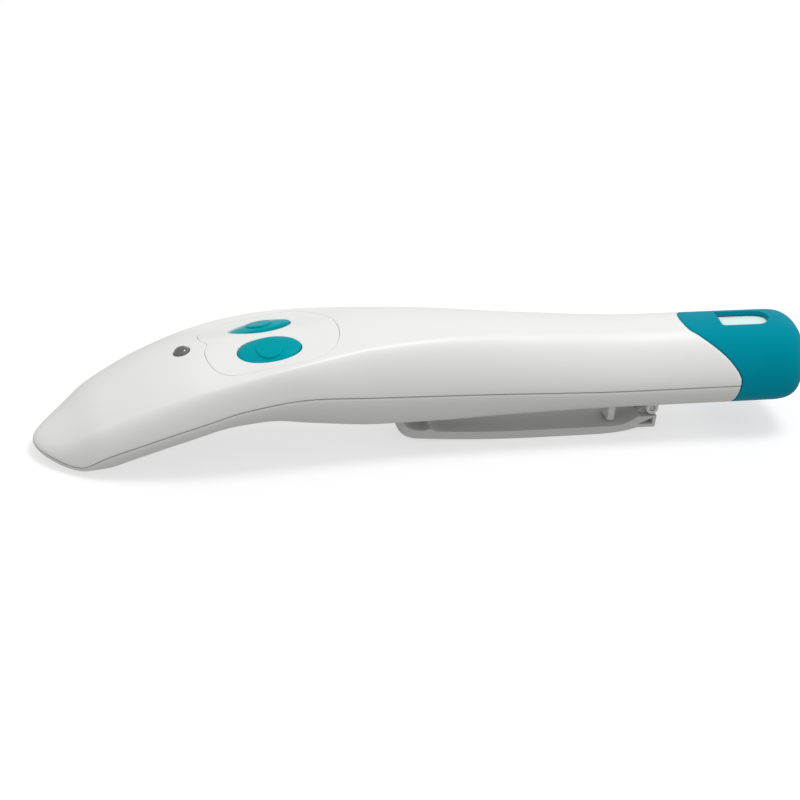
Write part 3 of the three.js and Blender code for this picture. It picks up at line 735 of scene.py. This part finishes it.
def winding(name, colour):
    """Enamelled copper wire laid in even turns round the antenna's former, with painted shade between the
    turns and painted highlights along them.
    """
    finish = Finish(name)
    tilt = math.radians(17.5)
    layer = (finish.toward((-math.sin(tilt), 0, math.cos(tilt))) * (2 * math.pi / 0.00032)).sine()
    turns = layer * 0.5 + 0.5
    tone = finish.noise(400, 3)
    # Painted shade and highlight: each turn is darkened in its groove and lightened on its crest, as light
    # falls on round wire.
    painted_turn_shading = finish.blend(turns, rgba(colour, 0.35), rgba(colour, 1.25))
    finish.set(base_color=finish.blend(tone * 0.4, painted_turn_shading, rgba(colour, 0.8)), metallic=0.85,
               roughness=(0.3 + tone * 0.15), coat_weight=0.4, coat_roughness=0.15)
    finish.bump(turns, 0.8, 0.1)
    return finish.material


def circuit_board(name, colour):
    """Green solder mask over copper tracks, with tinned pads."""
    finish = Finish(name)

    def spots(scale, settings=None):
        sockets = {"Vector": finish.place, "Scale": scale}
        return finish.node("ShaderNodeTexVoronoi", settings, sockets, output="Distance")

    cells = spots(190, {"distance": "MANHATTAN", "feature": "F1"})
    track = ((cells - 0.42) * 14).clamped() * (1 - ((cells - 0.52) * 14).clamped())
    pad = 1 - ((spots(330) - 0.11) * 40).clamped()
    mask = finish.blend(track, rgba(colour), rgba(colour, 2.2))
    cloud = finish.noise(90, 3)
    coated = finish.blend(cloud * 0.3, mask, rgba(colour, 0.7))
    finish.set(base_color=finish.blend(pad, coated, (0.6, 0.58, 0.52, 1)),
               metallic=pad * 0.9, roughness=(0.3 + cloud * 0.15))
    finish.bump(track + pad, 0.4, 0.06)
    return finish.material


def rubber(name, colour):
    finish = Finish(name)
    fine, bloom = finish.noise(2600, 3), finish.noise(60, 4)
    finish.set(base_color=finish.blend(bloom, rgba(colour, 0.8), rgba(colour, 1.8)),
               roughness=(0.72 + fine * 0.15).clamped(), specular_ior_level=0.3)
    finish.bump(fine, 0.5, 0.03)
    return finish.material


def cell_jacket(name, colour):
    """A plain printed film: a dark body with one paler band and fine shrink lines."""
    finish = Finish(name)
    from_band = finish.toward((1.0, 0.0, 0.0)) - 0.0985
    band = (1 - (from_band * from_band * 90000).clamped()) ** 0.5
    lines = finish.noise(1.0, 2, finish.stretched(1600, 120, 120))
    scuff = finish.noise(500, 4)
    body = finish.blend(band, rgba(colour), rgba(colour, 3.2))
    finish.set(base_color=finish.blend(scuff * 0.3, body, rgba(colour, 0.7)), metallic=0.3,
               roughness=(0.25 + scuff * 0.2), coat_weight=0.3, coat_roughness=0.2)
    finish.bump(lines, 0.15, 0.02)
    return finish.material


def pale_floor(name, colour):
    """Smooth seamless paper with a barely visible tooth, lit a little from behind."""
    finish = Finish(name)
    tooth = finish.noise(240, 3)
    finish.set(base_color=finish.blend(tooth, rgba(colour, 0.995), rgba(colour, 1.0)), roughness=0.9,
               specular_ior_level=0.0, emission_color=(1, 1, 1, 1), emission_strength=0.56)
    finish.bump(tooth, 0.03, 0.05)
    return finish.material


# ---------------------------------------- what a user would change


def length(name, default, description):
    return FloatProperty(name=name, description=description, default=default * MM, min=0.0, soft_max=0.05,
                         unit="LENGTH", subtype="DISTANCE", precision=5)


def colour(name, default, description):
    return FloatVectorProperty(name=name, description=description, default=default, size=3, min=0.0, max=1.0,
                               subtype="COLOR")


class ScannerSizes(PropertyGroup):
    """Sizes of the shells, keys and clip that the CAD model leaves open."""

    shell_wall: length("Shell wall", 2.0, "Thickness of the two shells")
    cap_wall: length("Cap wall", 1.6, "Thickness of the end cap")
    lip: length("Lip radius", 0.45, "Rounding of the shells' and the cap's edges")
    cut_lip: length("Opening radius", 0.3, "Rounding of the openings in the shells, fascia and cap")
    fascia_gap: length("Fascia gap", 0.1, "Clearance round the control fascia")
    fascia_lip: length("Fascia lip", 0.25, "Rounding of the edges along that gap")
    disc_radius: length("Key disc", 4.5, "Radius of the raised disc on each key")
    clip_edge: length("Clip edge", 0.35, "Rounding of the belt clip's edges")
    spring_wire: length("Spring wire", 0.72, "Thickness of the clip spring's wire")


class ScannerColours(PropertyGroup):
    """Colours of the scanner's finishes and of the floor."""

    white: colour("White shell", (0.85, 0.855, 0.84), "Upper shell and fascia")
    pale: colour("Pale shell", (0.7, 0.705, 0.69), "Lower shell")
    # Painted shade: the clip's light grey is darkened below the lower shell's to stand in for the shade in
    # the gap under the belly.
    clip: colour("Clip", (0.54, 0.545, 0.535), "Belt clip")
    inner_white: colour("Inner white", (0.74, 0.89, 0.87), "Battery carrier and cap pad")
    cap: colour("Cap", (0.0, 0.27, 0.36), "Soft-touch end cap")
    key: colour("Keys", (0.0, 0.34, 0.395), "Oval keys")
    lens: colour("Status light", (0.12, 0.12, 0.115), "Smoked dome")
    metal: colour("Steel", (0.56, 0.57, 0.58), "Screws, pin, spring and contacts")
    floor: colour("Floor", (0.48, 0.48, 0.48), "Seamless paper")


def sizes():
    """The scanner's sizes in millimetres."""
    held = bpy.context.scene.scanner_sizes
    return {key: getattr(held, key) / MM for key in ScannerSizes.__annotations__}


def colours():
    return bpy.context.scene.scanner_colours


FINISHES = {}


def finish_for(slot):
    """A finish, made once. Most are named after the material slot they fill."""
    tint = colours()
    makers = {
        "white_shell": lambda n: moulded(n, tint.white, 0.36, 2600, 0.02),
        "pale_shell": lambda n: moulded(n, tint.pale, 0.42, 2600, 0.02),
        # The clip finish: the clip's own grey darkened with painted shade for the gap under the belly.
        "clip": lambda n: moulded(n, tint.clip, 0.4, 2600, 0.02),
        "white_inner": lambda n: moulded(n, tint.inner_white, 0.5, 1900, 0.03),
        "teal_cap": lambda n: soft_touch(n, tint.cap),
        "teal_button": lambda n: moulded(n, tint.key, 0.34, 3200, 0.015, 0.04, 0.1, (0, 0.9, 1)),
        "smoked_lens": lambda n: smoked_dome(n, tint.lens),
        "black_plastic": lambda n: moulded(n, (0.02, 0.021, 0.023), 0.5, 2200, 0.03, mottle=0.15),
        "copper": lambda n: winding(n, (0.55, 0.2, 0.08)),
        "circuit_board": lambda n: circuit_board(n, (0.012, 0.14, 0.06)),
        "plain_steel": lambda n: steel(n, tint.metal),
        "red_insulation": lambda n: moulded(n, (0.5, 0.03, 0.02), 0.45, 1500, 0.02, mottle=0.08),
        "black_insulation": lambda n: rubber(n, (0.02, 0.02, 0.02)),
        "black_rubber": lambda n: rubber(n, (0.028, 0.028, 0.028)),
        "cell_jacket": lambda n: cell_jacket(n, (0.05, 0.1, 0.2)),
    }
    if slot not in FINISHES:
        FINISHES[slot] = makers[slot](f"scanner_{slot}")
    return FINISHES[slot]


# ---------------------------------------- one operator for each piece or group


class BuildUpperShell(Operator):
    """Upper shell: the crown and sides of the wand, with openings for the fascia and the light"""

    bl_idname = "scanner.upper_shell"
    bl_label = "Upper shell"

    def execute(self, context):
        size = sizes()
        piece = shell("scanner_upper_shell", over_crown, 1, size["shell_wall"], size["lip"])
        light_seat = seat(LIGHT["x"], 0, LIGHT["z"], LIGHT["pitch"])
        light_hole = ellipse(LIGHT["radius"] + GAP, LIGHT["radius"] + GAP, 40)
        combine(piece, "DIFFERENCE",
                flared_cutter(FASCIA_SEAT, fascia_outline(size["fascia_gap"] / 2), 9, size["fascia_lip"]),
                flared_cutter(light_seat, light_hole, 6, size["cut_lip"]))
        for x, y in CASE_SCREWS:
            boss = post(x, y, seam_height(x) + GAP, lambda a, b: crown_z(a, b) - 1, 3)
            combine(piece, "UNION", boss)
            combine(piece, "DIFFERENCE", post(x, y, seam_height(x) - 1, seam_height(x) + 9, 1.1, 20))
        finished(piece, "housing", "white_shell", "upper_shell")
        return {"FINISHED"}


class BuildLowerShell(Operator):
    """Lower shell: the belly of the wand, with its screw wells, clip lugs and stop post"""

    bl_idname = "scanner.lower_shell"
    bl_label = "Lower shell"

    def execute(self, context):
        size = sizes()
        piece = shell("scanner_lower_shell", under_belly, -1, size["shell_wall"], size["lip"])
        inside_belly = lambda a, b: belly_z(a, b) + 1
        for x, y in CASE_SCREWS:
            combine(piece, "UNION", post(x, y, inside_belly, seam_height(x) - GAP, 3.4))
            head = float(belly_height(x)) + 5.2
            combine(piece, "DIFFERENCE", post(x, y, -20, head, 2.8), post(x, y, -20, 60, 1.4, 24))
        for x, y in BOARD_SCREWS:
            combine(piece, "UNION", post(x, y, inside_belly, BOARD_UNDERSIDE - GAP, 2.4))
            combine(piece, "DIFFERENCE", post(x, y, BOARD_UNDERSIDE - 6.5, 60, 0.7, 20))
        pin_x, pin_z, knuckle = CLIP["pin_x"], CLIP["pin_z"], CLIP["knuckle"]
        lower_half = np.linspace(math.pi, 2 * math.pi, 17)
        hanging_lug = [(pin_x + knuckle * math.cos(a), pin_z + knuckle * math.sin(a)) for a in lower_half]
        hanging_lug += [(pin_x + knuckle, pin_z + 3.6), (pin_x - knuckle, pin_z + 3.6)]
        stop = soften(slab(200.9, 203.5, -4.5, 4.5, 3.6, 12.6), 0.4)
        combine(piece, "UNION", stop)
        for y in (-5.9, 5.9):
            lug = across("lug", hanging_lug, y - 1.2, y + 1.2)
            combine(piece, "UNION", soften(lug, 0.2))
        combine(piece, "DIFFERENCE", across("bore", circle(pin_x, pin_z, CLIP["pin_radius"] + 0.12), -15, 15))
        finished(piece, "housing", "pale_shell", "lower_shell")
        return {"FINISHED"}


class BuildFascia(Operator):
    """Control fascia: a plate let into the upper shell, with a well for each key"""

    bl_idname = "scanner.fascia"
    bl_label = "Control fascia"

    def execute(self, context):
        size = sizes()
        lip = size["fascia_lip"]
        turn = np.linspace(0, math.pi / 2, 5)
        top = [(share, -lip, 0) for share in np.linspace(0, 1, 34)]
        edge = [(1, -lip * (1 - math.sin(a)), -lip * (1 - math.cos(a))) for a in turn[1:]]
        flange = [(1, 0, -2.3), (1, 1.6, -2.35), (1, 1.6, -3.1)]
        under = [(share, 1.6, -3.2) for share in np.linspace(1, 0, 12)[1:]]
        outline = fascia_outline(-size["fascia_gap"] / 2)
        piece = patch("scanner_fascia", FASCIA_SEAT, outline, top + edge + flange + under)
        well = ellipse(KEY["half_length"] + 0.35, KEY["half_width"] + 0.35)
        for side in (-1, 1):
            combine(piece, "DIFFERENCE", flared_cutter(key_seat(side), well, 8, size["cut_lip"]))
        finished(piece, "housing", "white_shell", "control_fascia")
        return {"FINISHED"}


class BuildKeys(Operator):
    """Keys: two crowned satin ovals with a raised round disc and a flange that keeps each in its well"""

    bl_idname = "scanner.keys"
    bl_label = "Keys"

    def execute(self, context):
        oval = [(0.3, -5.5), (0.3, -5.2), (1.06, -5.2), (1.06, -4.5), (1, -4.5), (1, 0.05), (0.985, 0.22),
                (0.955, 0.36), (0.9, 0.52), (0.8, 0.72), (0.66, 0.92), (0.5, 1.08), (0.3, 1.2), (0.1, 1.26),
                (0.01, 1.27)]
        key = turned("scanner_key", oval, 96)
        key.data.transform(Matrix.Diagonal((KEY["half_length"], KEY["half_width"], 1, 1)))
        r = sizes()["disc_radius"]
        disc = turned("disc", [(r, 0.3), (r, 1.22), (r - 0.08, 1.36), (r - 0.28, 1.46), (r - 0.6, 1.5),
                               (r * 0.5, 1.54), (0.05, 1.55)], 64)
        combine(key, "UNION", disc)
        for side, name in ((-1, "left"), (1, "right")):
            piece = placed(copy_of(key, f"scanner_{name}_key"), key_seat(side))
            finished(piece, f"{name}_button", "teal_button", f"{name}_button", angle=28)
        bpy.data.objects.remove(key)
        return {"FINISHED"}


class BuildStatusLight(Operator):
    """Status light: a smoked dome on a stem, held from inside by its flange"""

    bl_idname = "scanner.status_light"
    bl_label = "Status light"

    def execute(self, context):
        r = LIGHT["radius"]
        dome = [(r * math.cos(a), 0.1 + 1.7 * math.sin(a)) for a in np.linspace(0, math.pi / 2, 14)[:-1]]
        stem = [(3.0, -6), (3.1, -5.9), (3.1, -5.1), (3.0, -5), (r, -5), (r, -0.3)]
        piece = placed(turned("scanner_status_light", stem + dome + [(0.02, 1.8)], 56),
                       seat(LIGHT["x"], 0, LIGHT["z"], LIGHT["pitch"]))
        finished(piece, "housing", "smoked_lens", "status_led")
        return {"FINISHED"}


class BuildEndCap(Operator):
    """End cap: a soft-touch cup with a wavy front edge, a D-shaped window and the bridge contact's seat"""

    bl_idname = "scanner.end_cap"
    bl_label = "End cap"

    def execute(self, context):
        size = sizes()
        piece = end_cap_form("scanner_end_cap", size["cap_wall"], size["lip"])
        combine(piece, "DIFFERENCE", flared_cutter(WINDOW_SEAT, window_outline(0), 4, size["cut_lip"]))
        combine(piece, "UNION", slab(263.4, 268.8, -8.5, 8.5, CELL["z"] - 3.5, CELL["z"] + 3.5))
        finished(piece, "end_cap", "teal_cap", "end_cap")
        return {"FINISHED"}


class BuildCapPad(Operator):
    """Cap pad: the white pad under the cap's window"""

    bl_idname = "scanner.cap_pad"
    bl_label = "Cap pad"

    def execute(self, context):
        top = [(share, -0.25, 0) for share in np.linspace(0, 1, 10)]
        edge = [(1, -0.07, -0.07), (1, 0, -0.25), (1, 0, -1.2), (1, 0, -1.9)]
        under = [(share, 0, -1.9) for share in np.linspace(1, 0, 5)[1:]]
        piece = patch("scanner_cap_pad", WINDOW_SEAT, window_outline(0.8), top + edge + under,
                      inset=sizes()["cap_wall"] + GAP)
        finished(piece, "cap_latch", "white_inner", "cap_latch")
        return {"FINISHED"}


class BuildBeltClip(Operator):
    """Belt clip: a front lip, a long blade and a ramp with an eye, on a barrel round the pivot pin"""

    bl_idname = "scanner.belt_clip"
    bl_label = "Belt clip"

    def execute(self, context):
        pin_x, pin_z, half = CLIP["pin_x"], CLIP["pin_z"], CLIP["half_width"]
        k = 0.85 * CLIP["knuckle"]
        side_view = quadratic(
            (122.9, 9), (123.2, 3.2, 130.5, 2), (152, 0.1, 172, 0), (184, 0), (196, 0),
            (206, 0.2, 211.2, 2), (217.8, 1.9), (pin_x + k, pin_z), (pin_x, pin_z + k),
            (pin_x - k, pin_z + 0.2), (208.4, 3, 202, 3), (172, 3), (150, 3.1, 137, 4.5),
            (135.2, 6.1, 133.4, 4.9), (126.4, 5, 125.3, 9))
        piece = across("scanner_belt_clip", side_view, -half - 1, half + 1)
        plan = quadratic((230, -half), (230, half), (127.5, half), (121.5, half, 121.5, half - 6),
                         (121.5, 6 - half), (121.5, -half, 127.5, -half))
        combine(piece, "INTERSECT", prism("plan", [(x, y, -20) for x, y in plan], (0, 0, 60)))
        combine(piece, "DIFFERENCE", across("eye", [(211.3, 3.2), (216.8, 3.1), (216.7, 5.6)], -12, 12))
        soften(piece, sizes()["clip_edge"], 50, 3)
        low, high = pin_z - 2.8, pin_z + 4.6
        for y in (-6.85, 6.85):
            combine(piece, "DIFFERENCE", slab(pin_x - 4.5, pin_x + 4.5, y - 2.5, y + 2.5, low, high))
        combine(piece, "UNION", across("barrel", circle(pin_x, pin_z, CLIP["knuckle"], 40), -4.3, 4.3))
        combine(piece, "DIFFERENCE", slab(pin_x - 4.5, pin_x + 4.5, -2.3, 2.3, low, high),
                across("bore", circle(pin_x, pin_z, CLIP["pin_radius"] + 0.12), -15, 15))
        # The clip wears the darker clip finish, its grey darkened with painted shade for the gap under the
        # belly.
        finished(piece, "belt_clip", "pale_shell", "belt_clip", finish="clip")
        return {"FINISHED"}


class BuildClipPivot(Operator):
    """Clip pivot: a pin with chamfered ends and the torsion spring wound round it"""

    bl_idname = "scanner.clip_pivot"
    bl_label = "Clip pivot"

    def execute(self, context):
        r, half = CLIP["pin_radius"], 6.8
        upright = Matrix.Rotation(math.radians(-90), 4, "X")
        centre = seat(CLIP["pin_x"], 0, CLIP["pin_z"])
        outline = [(r - 0.2, -half), (r, 0.2 - half), (r, half - 0.2), (r - 0.2, half)]
        pin = turned("scanner_clip_pin", outline, 32)
        finished(placed(pin, centre @ upright), "housing", "plain_steel", "clip_pin")
        wire, turns = sizes()["spring_wire"], 5
        deselect()
        bpy.ops.mesh.primitive_circle_add(vertices=12, radius=wire / 2 * MM, fill_type="NOTHING")
        spring = new_piece("scanner_clip_spring")
        edit_all(lambda: bpy.ops.transform.translate(value=(1.7 * MM, -turns * 0.4 * MM, 0)))
        apply_modifier(spring, "SCREW", axis="Y", steps=28, render_steps=28, iterations=turns,
                       screw_offset=0.8 * MM, angle=2 * math.pi)
        edit_all(lambda: bpy.ops.mesh.fill_holes(sides=0), face_out)
        finished(placed(spring, centre), "housing", "plain_steel", "clip_spring", angle=50)
        return {"FINISHED"}


class BuildCaseScrews(Operator):
    """Case screws: four pan-headed screws with a cross recess, seated in their wells"""

    bl_idname = "scanner.case_screws"
    bl_label = "Case screws"

    def execute(self, context):
        for i, (x, y) in enumerate(CASE_SCREWS):
            belly = float(belly_height(x))
            reach = float(seam_height(x)) + 5.5 - (belly + 5.2)
            steps = range(int((reach - 1.4) / 0.3))
            head = [(1.6, -2), (2.05, -1.85), (2.3, -1.5), (2.4, -1), (2.4, 0)]
            thread = [(1.1 if step % 2 else 0.92, 0.1 + step * 0.3) for step in steps]
            profile = [*head, *thread, (0.9, reach - 1), (0.2, reach)]
            piece = turned(f"scanner_case_screw_{i + 1}", profile, 28)
            for long, wide, floor in ((1.3, 0.28, -1), (0.28, 1.3, -1.03)):
                recess = slab(LENGTH / 2 - long, LENGTH / 2 + long, -wide, wide, -3, floor)
                combine(piece, "DIFFERENCE", recess)
            placed(piece, seat(x, y, belly + 5.2 - GAP / 2))
            finished(piece, "housing", "plain_steel", f"case_screw_{i + 1}")
        return {"FINISHED"}


class BuildCells(Operator):
    """Cells: two AAA cells side by side, one turned end for end, in plain jackets with steel ends"""

    bl_idname = "scanner.cells"
    bl_label = "Cells"

    def execute(self, context):
        r, long = CELL["radius"], CELL["length"]
        profile = [(r - 0.9, 0), (r - 0.75, 0.05), (r - 0.7, 0.35), (r - 0.25, 0.3), (r - 0.05, 0.45),
                   (r, 0.7), (r, long - 2), (r - 0.1, long - 1.7), (r - 0.6, long - 1.4),
                   (r - 0.8, long - 1), (2, long - 1), (1.9, long - 0.9), (1.9, long - 0.25),
                   (1.75, long - 0.05), (1.5, long)]
        for side, name in ((-1, "left"), (1, "right")):
            piece = turned(f"scanner_{name}_cell", profile, 56)
            lie = Matrix.Rotation(math.radians(90 * -side), 4, "Y")
            start = CELL["x"] + (long if side == 1 else 0)
            placed(piece, seat(start, side * CELL["y"], CELL["z"]) @ lie)
            finished(piece, "housing", "cell_jacket", f"{name}_cell")
            piece.data.materials.append(finish_for("plain_steel"))
            for face in piece.data.polygons:
                away = (face.center - Vector(metres((0, side * CELL["y"], CELL["z"]))))
                if math.hypot(away.y, away.z) < (r - 0.62) * MM:
                    face.material_index = 1
        return {"FINISHED"}


class BuildCarrier(Operator):
    """Battery carrier: the part that the cap slides over, bored for two cells"""

    bl_idname = "scanner.carrier"
    bl_label = "Battery carrier"

    def execute(self, context):
        front, rear = CARRIER["front"], CARRIER["rear"]
        piece = barrel("scanner_battery_carrier", CARRIER["inset"], front, rear)
        floor = front + CARRIER["bulkhead"]
        lie = Matrix.Rotation(math.radians(90), 4, "Y")
        for side in (-1, 1):
            bore = turned("bore", [(CELL["radius"] + 0.35, 0), (CELL["radius"] + 0.35, 60)], 56)
            stud = turned("stud", [(1.3, -6), (1.3, 6)], 24)
            combine(piece, "DIFFERENCE", placed(bore, seat(floor, side * CELL["y"], CELL["z"]) @ lie),
                    placed(stud, seat(front, side * CELL["y"], CELL["z"]) @ lie))
        outline = window_outline(0.8 + GAP) + (WINDOW_HEART, 0)
        room = prism("room", [(x, y, 33.4) for x, y in outline], (0, 0, 20))
        combine(piece, "DIFFERENCE", slab(floor + 2, floor + 28, -11, 11, 32.6, 52.6), room)
        soften(piece, 0.3, 60)
        finished(piece, "housing", "white_inner", "battery_carrier")
        return {"FINISHED"}


class DressInnerParts(Operator):
    """Inner parts: the CAD solids that stay as they are get their finishes"""

    bl_idname = "scanner.inner_parts"
    bl_label = "Inner parts"

    WEARS = {
        "copper": ["antenna_coil"],
        "circuit_board": ["main_board"],
        "plain_steel": ["crystal", "radio_module", "left_contact", "right_contact", "bridge_contact",
                        "board_screw_1", "board_screw_2"],
        "white_inner": ["antenna_connector", "battery_connector"],
        "red_insulation": ["right_battery_lead", "tuning_capacitor"],
        "black_insulation": ["antenna_lead", "left_battery_lead"],
        "black_rubber": ["cap_grip_band"],
        "black_plastic": ["antenna_bobbin", "reader_chip", "processor_chip", "buzzer", "left_switch",
                          "right_switch"],
    }

    def execute(self, context):
        for slot, names in self.WEARS.items():
            for name in names:
                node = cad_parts[name]
                node.data.materials.clear()
                node.data.materials.append(finish_for(slot))
        return {"FINISHED"}


class SetStage(Operator):
    """Stage: a pale floor, soft studio light and the camera"""

    bl_idname = "scanner.stage"
    bl_label = "Stage"

    def execute(self, context):
        deselect()
        bpy.ops.mesh.primitive_plane_add(size=60, location=(0, 0, 0))
        floor = new_piece("floor")
        floor.data.materials.append(pale_floor("floor_paper", colours().floor))
        floor.visible_diffuse = floor.visible_glossy = False

        world = bpy.data.worlds.new("studio")
        world.use_nodes = True
        tree = world.node_tree
        background = tree.nodes["Background"]
        background.inputs["Color"].default_value = (1, 1, 1, 1)
        direction, parts, level = (tree.nodes.new(f"ShaderNode{kind}") for kind in
                                   ("TexCoord", "SeparateXYZ", "MapRange"))
        for key, value in (("From Min", -0.3), ("From Max", 0.3), ("To Min", 0.43), ("To Max", 0.68)):
            level.inputs[key].default_value = value
        tree.links.new(direction.outputs["Generated"], parts.inputs["Vector"])
        tree.links.new(parts.outputs["Z"], level.inputs["Value"])
        tree.links.new(level.outputs["Result"], background.inputs["Strength"])
        context.scene.world = world

        lamps = (
            ("overhead", (0.4, -0.1, 1.5), (0, 0, 0.02), 0.55, 9),
            ("side", (0.8, -1.4, 0.1), (0.03, 0, 0.02), 0.9, 1.3),
        )
        for name, place, target, size, power in lamps:
            lamp = bpy.data.lights.new(name, "AREA")
            lamp.shape, lamp.size, lamp.energy = "DISK", size, power
            holder = bpy.data.objects.new(name, lamp)
            context.scene.collection.objects.link(holder)
            holder.location = place
            holder.rotation_euler = (Vector(target) - Vector(place)).to_track_quat("-Z", "Y").to_euler()

        turn, rise, tilt = math.radians(-17.5), math.radians(28), math.radians(5.7)
        back = Vector((math.sin(turn) * math.cos(rise), -math.cos(turn) * math.cos(rise), math.sin(rise)))
        flat = Vector((math.cos(turn), math.sin(turn), 0))
        plumb = back.cross(flat)
        right = flat * math.cos(tilt) + plumb * math.sin(tilt)
        up = plumb * math.cos(tilt) - flat * math.sin(tilt)
        lens = bpy.data.cameras.new("camera")
        lens.sensor_width, lens.lens = 36, 118.0
        lens.clip_start, lens.clip_end = 0.01, 50
        camera = bpy.data.objects.new("camera", lens)
        context.scene.collection.objects.link(camera)
        matrix = Matrix((right, up, back)).transposed().to_4x4()
        matrix.translation = Vector((-0.00928, 0, 0.01328)) + back * 0.9
        camera.matrix_world = matrix
        context.scene.camera = camera
        context.scene.view_settings.view_transform = "Standard"
        return {"FINISHED"}


OPERATORS = (BuildUpperShell, BuildLowerShell, BuildFascia, BuildKeys, BuildStatusLight, BuildEndCap,
             BuildCapPad, BuildBeltClip, BuildClipPivot, BuildCaseScrews, BuildCells, BuildCarrier,
             DressInnerParts, SetStage)


class ScannerPanel(Panel):
    """Lists the scanner's pieces, sizes and colours"""

    bl_idname = "VIEW3D_PT_scanner"
    bl_label = "Microchip scanner"
    bl_space_type = "VIEW_3D"
    bl_region_type = "UI"
    bl_category = "Scanner"

    def draw(self, context):
        for held in (context.scene.scanner_sizes, context.scene.scanner_colours):
            box = self.layout.box()
            for key in type(held).__annotations__:
                box.prop(held, key)
        for operator in OPERATORS:
            self.layout.operator(operator.bl_idname)


CLASSES = (ScannerSizes, ScannerColours, *OPERATORS, ScannerPanel)


def register():
    for each in CLASSES:
        bpy.utils.register_class(each)
    bpy.types.Scene.scanner_sizes = PointerProperty(type=ScannerSizes)
    bpy.types.Scene.scanner_colours = PointerProperty(type=ScannerColours)


def unregister():
    del bpy.types.Scene.scanner_colours
    del bpy.types.Scene.scanner_sizes
    for each in reversed(CLASSES):
        bpy.utils.unregister_class(each)


def main():
    register()
    for operator in OPERATORS:
        group, name = operator.bl_idname.split(".")
        getattr(getattr(bpy.ops, group), name)()


if __name__ == "__main__":
    main()
